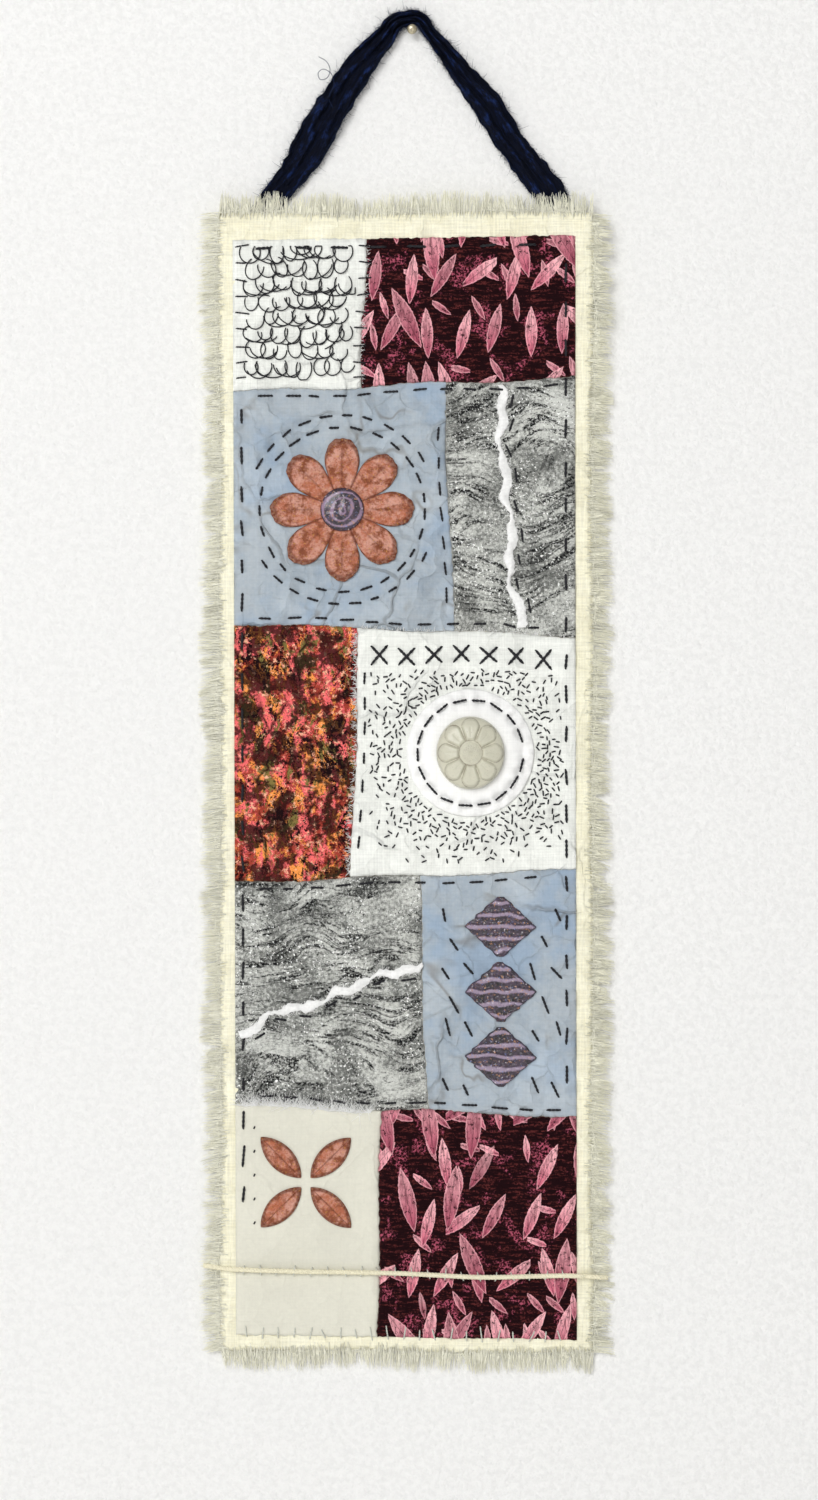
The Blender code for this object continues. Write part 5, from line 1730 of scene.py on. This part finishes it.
def make_loops():
    """Thread laid on the white top patch in rows of open loops, with long arcs under them."""
    front = sheet_front()
    rng = default_rng(156)
    points, edges = [], []

    def lay(u, v, wide, tall, half_turn, count):
        turn = linspace(-half_turn - rng.uniform(-0.35, 0.35), half_turn, count)
        lean = rng.normal(0, 0.28)
        across, down = wide * sin(turn), -tall * cos(turn)
        height = rng.uniform(0.00025, 0.0007) + 0.00025 * sin(2 * turn)
        ends = minimum(smooth(0, 0.12, turn - turn[0]), smooth(0, 0.12, turn[-1] - turn))
        at_u = clip(u + across * math.cos(lean) - down * math.sin(lean), *LOOP_ROOM[0])
        at_v = clip(v + across * math.sin(lean) + down * math.cos(lean), *LOOP_ROOM[1])
        edges.extend(chain(len(points), len(points) + count))
        for place in zip(at_u, at_v, mix(-0.0004, height, ends)):
            points.append(front.on(*place[:2]) - Vector((0, place[2], 0)))
    for v in arange(0.359, 0.402, 0.0061):
        u = 0.0062 + rng.uniform(0, 0.003)
        while u < 0.0425:
            row = v + rng.normal(0, 0.0005)
            lay(u, row, rng.uniform(0.0024, 0.0039), rng.uniform(0.0028, 0.0044), rng.uniform(1.9, 2.8), 22)
            if rng.random() < 0.55:
                lay(u + 0.003, row + 0.0004, rng.uniform(0.0046, 0.007), rng.uniform(0.0034, 0.0048), 1.3, 18)
            u += rng.uniform(0.004, 0.0066)
    grow("looped_thread", laid_thread, points, edges, Radius=0.00024, Sides=5,
         Material=bpy.data.materials["dark thread"])


def fray_edge(u, v, out, count, reach, seed, spread=0.6):
    """Roots and ways of short fibres along a line of places: rows of (u, v, du, dv)."""
    rng = default_rng(seed)
    along = lengths_along(np.stack([u, v], 1))
    place = rng.uniform(0, along[-1], count)
    length = reach * rng.uniform(0.35, 1, count)
    angle = math.atan2(out[1], out[0]) + rng.normal(0, spread, count)
    return np.stack([np.interp(place, along, u), np.interp(place, along, v), length * cos(angle),
                     length * sin(angle)], 1)


def make_patch_fray(hues):
    """White fibres out of the raw edges of pale patches and of the torn strips."""
    front = sheet_front()
    t = linspace(0.02, 0.98, 60)
    cream_u, muslin_u = linspace(0.002, 0.05, 60), linspace(0.047, 0.124, 60)
    rows = [
        fray_edge(cream_u, seam_height(0, cream_u) - 0.001, (0, 1), 420, 0.0062, 220, 0.9),
        fray_edge(muslin_u, seam_height(2, muslin_u), (0, 1), 150, 0.002, 221),
        fray_edge(*beside_split(2, t), (-1, 0), 260, 0.0028, 222, 0.7),
        fray_edge(split(4, t), mix(0.351, 0.405, t), (1, 0), 90, 0.0018, 223),
    ]
    for number, row in enumerate(TORN_EDGES.values()):
        (u0, v0), (u1, v1) = row[:2]
        for side in (-1, 1):
            outward = (side * (v1 - v0), side * (u0 - u1))
            edge = on_torn_edge(row, t, side)
            rows.append(fray_edge(*edge, outward, 110, 0.0013, 225 + 2 * number + side, 0.8))
    points, ways = [], []
    rng = default_rng(224)
    for u, v, du, dv in np.concatenate(rows):
        root, end = front.on(u, v), front.on(u + du, v + dv)
        start_y = root.y - 0.00012
        end_y = min(end.y, root.y) - rng.uniform(0.0001, 0.0009)
        points.append((root.x, start_y, root.z))
        ways.append((end.x - root.x, end_y - start_y, end.z - root.z))
    grow("patch_fray", loose_strands, points, (), {"way": ways}, "white_muslin", Radius=0.00011, Segments=5,
         Wander=0.0009, Crinkle=380.0, Material=thread_material("white fibre", hues.white))


# Cut sizes and stage


def declare_sheets(patches, torn, peels):
    """Works out the sizes to which the cloths were cut, and what lies on each, but keeps none of it."""
    extras = {"patch_cloth_cream": peels, "patch_cloth_grey_low": torn[1:], "patch_cloth_grey_high": torn[:1]}
    for piece, wide, tall in patches:
        round(wide + 0.001, 3)
        round(tall + 0.001, 3)
        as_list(extras.get(piece.name, []))


def make_stage(hues):
    """A pale wall and floor, soft light and the camera."""
    half, wall_y, wall_top, floor_z, reach = STAGE.values()

    def board(y0, z0, y1, z1):
        return mesh_of([(-half, y0, z0), (half, y0, z0), (half, y1, z1), (-half, y1, z1)], [range(4)])

    def floor_paint(net):
        return [net.blend(net.spots(net.place(), 6, 0.3, 0.7, 3), hues.wall, dim(hues.wall, 0.97))]
    wall = add_object("wall", board(wall_y, floor_z, wall_y, wall_top), wall_material(hues.wall))
    floor_look = new_material("pale floor", floor_paint, 0.8)
    add_object("floor", board(-reach, floor_z, reach, floor_z), floor_look)
    for name, (place, size, power) in LIGHTS.items():
        light = bpy.data.lights.new(name, "AREA")
        light.size = size
        light.energy = power
        hung = add_object(name, light)
        hung.location = place
        way = Vector((VIEW_MIDDLE[0], 0, VIEW_MIDDLE[1])) - hung.location
        hung.rotation_euler = way.to_track_quat("-Z", "Y").to_euler()
    scene = bpy.context.scene
    scene.world = bpy.data.worlds.new("soft room")
    scene.world.use_nodes = True
    glow = scene.world.node_tree.nodes["Background"].inputs
    glow["Color"].default_value = (1, 0.99, 0.98, 1)
    glow["Strength"].default_value = ROOM_GLOW
    scene.view_settings.view_transform = "Standard"
    camera = bpy.data.cameras.new("camera")
    camera.sensor_width = 36
    camera.lens = camera.sensor_width * LENS_DISTANCE / VIEW_HEIGHT
    scene.camera = add_object("camera", camera)
    scene.camera.location = (VIEW_MIDDLE[0], -VIEW_DISTANCE, VIEW_MIDDLE[1])
    scene.camera.rotation_euler = (math.pi / 2, 0, 0)


# Operators


class QUILT_OT_stage(bpy.types.Operator):
    """Set the wall, floor, lights and camera"""

    bl_idname = "quilt.stage"
    bl_label = "Stage"

    def execute(self, context):
        make_stage(context.scene.quilt_colours)
        return {"FINISHED"}


class QUILT_OT_backing(bpy.types.Operator):
    """Weave the backing cloth and ravel its edges"""

    bl_idname = "quilt.backing"
    bl_label = "Backing and Fringes"

    def execute(self, context):
        sizes, hues = context.scene.quilt_sizes, context.scene.quilt_colours
        make_backing(sizes, hues)
        for seed, side in enumerate(FRINGES, 11):
            make_fringe(side, seed, sizes, hues)
        make_selvedge()
        return {"FINISHED"}


class QUILT_OT_panel(bpy.types.Operator):
    """Lay the patches, the torn strips, the applied shapes, the ribbon over its nail and the button"""

    bl_idname = "quilt.panel"
    bl_label = "Panel"

    def execute(self, context):
        sizes, hues = context.scene.quilt_sizes, context.scene.quilt_colours
        patches = make_patches(sizes, hues)
        torn = make_torn_strips(sizes, hues)
        flower = make_flower(hues)
        make_padded_round(hues)
        peels = make_peels()
        lozenges = make_lozenges(hues)
        make_ribbon(hues)
        make_ribbon_fray()
        make_nail()
        declare_sheets(patches, torn, peels)
        make_cabochon(hues)
        return {"FINISHED"}


class QUILT_OT_sewing(bpy.types.Operator):
    """Sew the stitches, loops, cord and frays"""

    bl_idname = "quilt.sewing"
    bl_label = "Sewing"

    def execute(self, context):
        sizes, hues = context.scene.quilt_sizes, context.scene.quilt_colours
        make_sewing(sizes, hues)
        make_loops()
        make_patch_fray(hues)
        make_cord(sizes, hues)
        return {"FINISHED"}


class QUILT_PT_sidebar(bpy.types.Panel):
    """Sizes, colours and steps of the art quilt"""

    bl_idname = "QUILT_PT_sidebar"
    bl_label = "Art Quilt"
    bl_space_type = "VIEW_3D"
    bl_region_type = "UI"
    bl_category = "Art Quilt"

    def draw(self, context):
        for operator in OPERATORS:
            self.layout.operator(operator.bl_idname)
        for group in (context.scene.quilt_sizes, context.scene.quilt_colours):
            box = self.layout.box()
            for name in group.bl_rna.properties.keys():
                if name not in ("rna_type", "name"):
                    box.prop(group, name)


OPERATORS = (QUILT_OT_stage, QUILT_OT_backing, QUILT_OT_panel, QUILT_OT_sewing)
CLASSES = (QuiltSizes, QuiltColours, *OPERATORS, QUILT_PT_sidebar)


def register():
    for cls in CLASSES:
        bpy.utils.register_class(cls)
    bpy.types.Scene.quilt_sizes = PointerProperty(type=QuiltSizes)
    bpy.types.Scene.quilt_colours = PointerProperty(type=QuiltColours)


def unregister():
    del bpy.types.Scene.quilt_sizes
    del bpy.types.Scene.quilt_colours
    for cls in reversed(CLASSES):
        bpy.utils.unregister_class(cls)


def main():
    register()
    for operator in OPERATORS:
        group, name = operator.bl_idname.split(".")
        getattr(getattr(bpy.ops, group), name)()


if __name__ == "__main__":
    main()
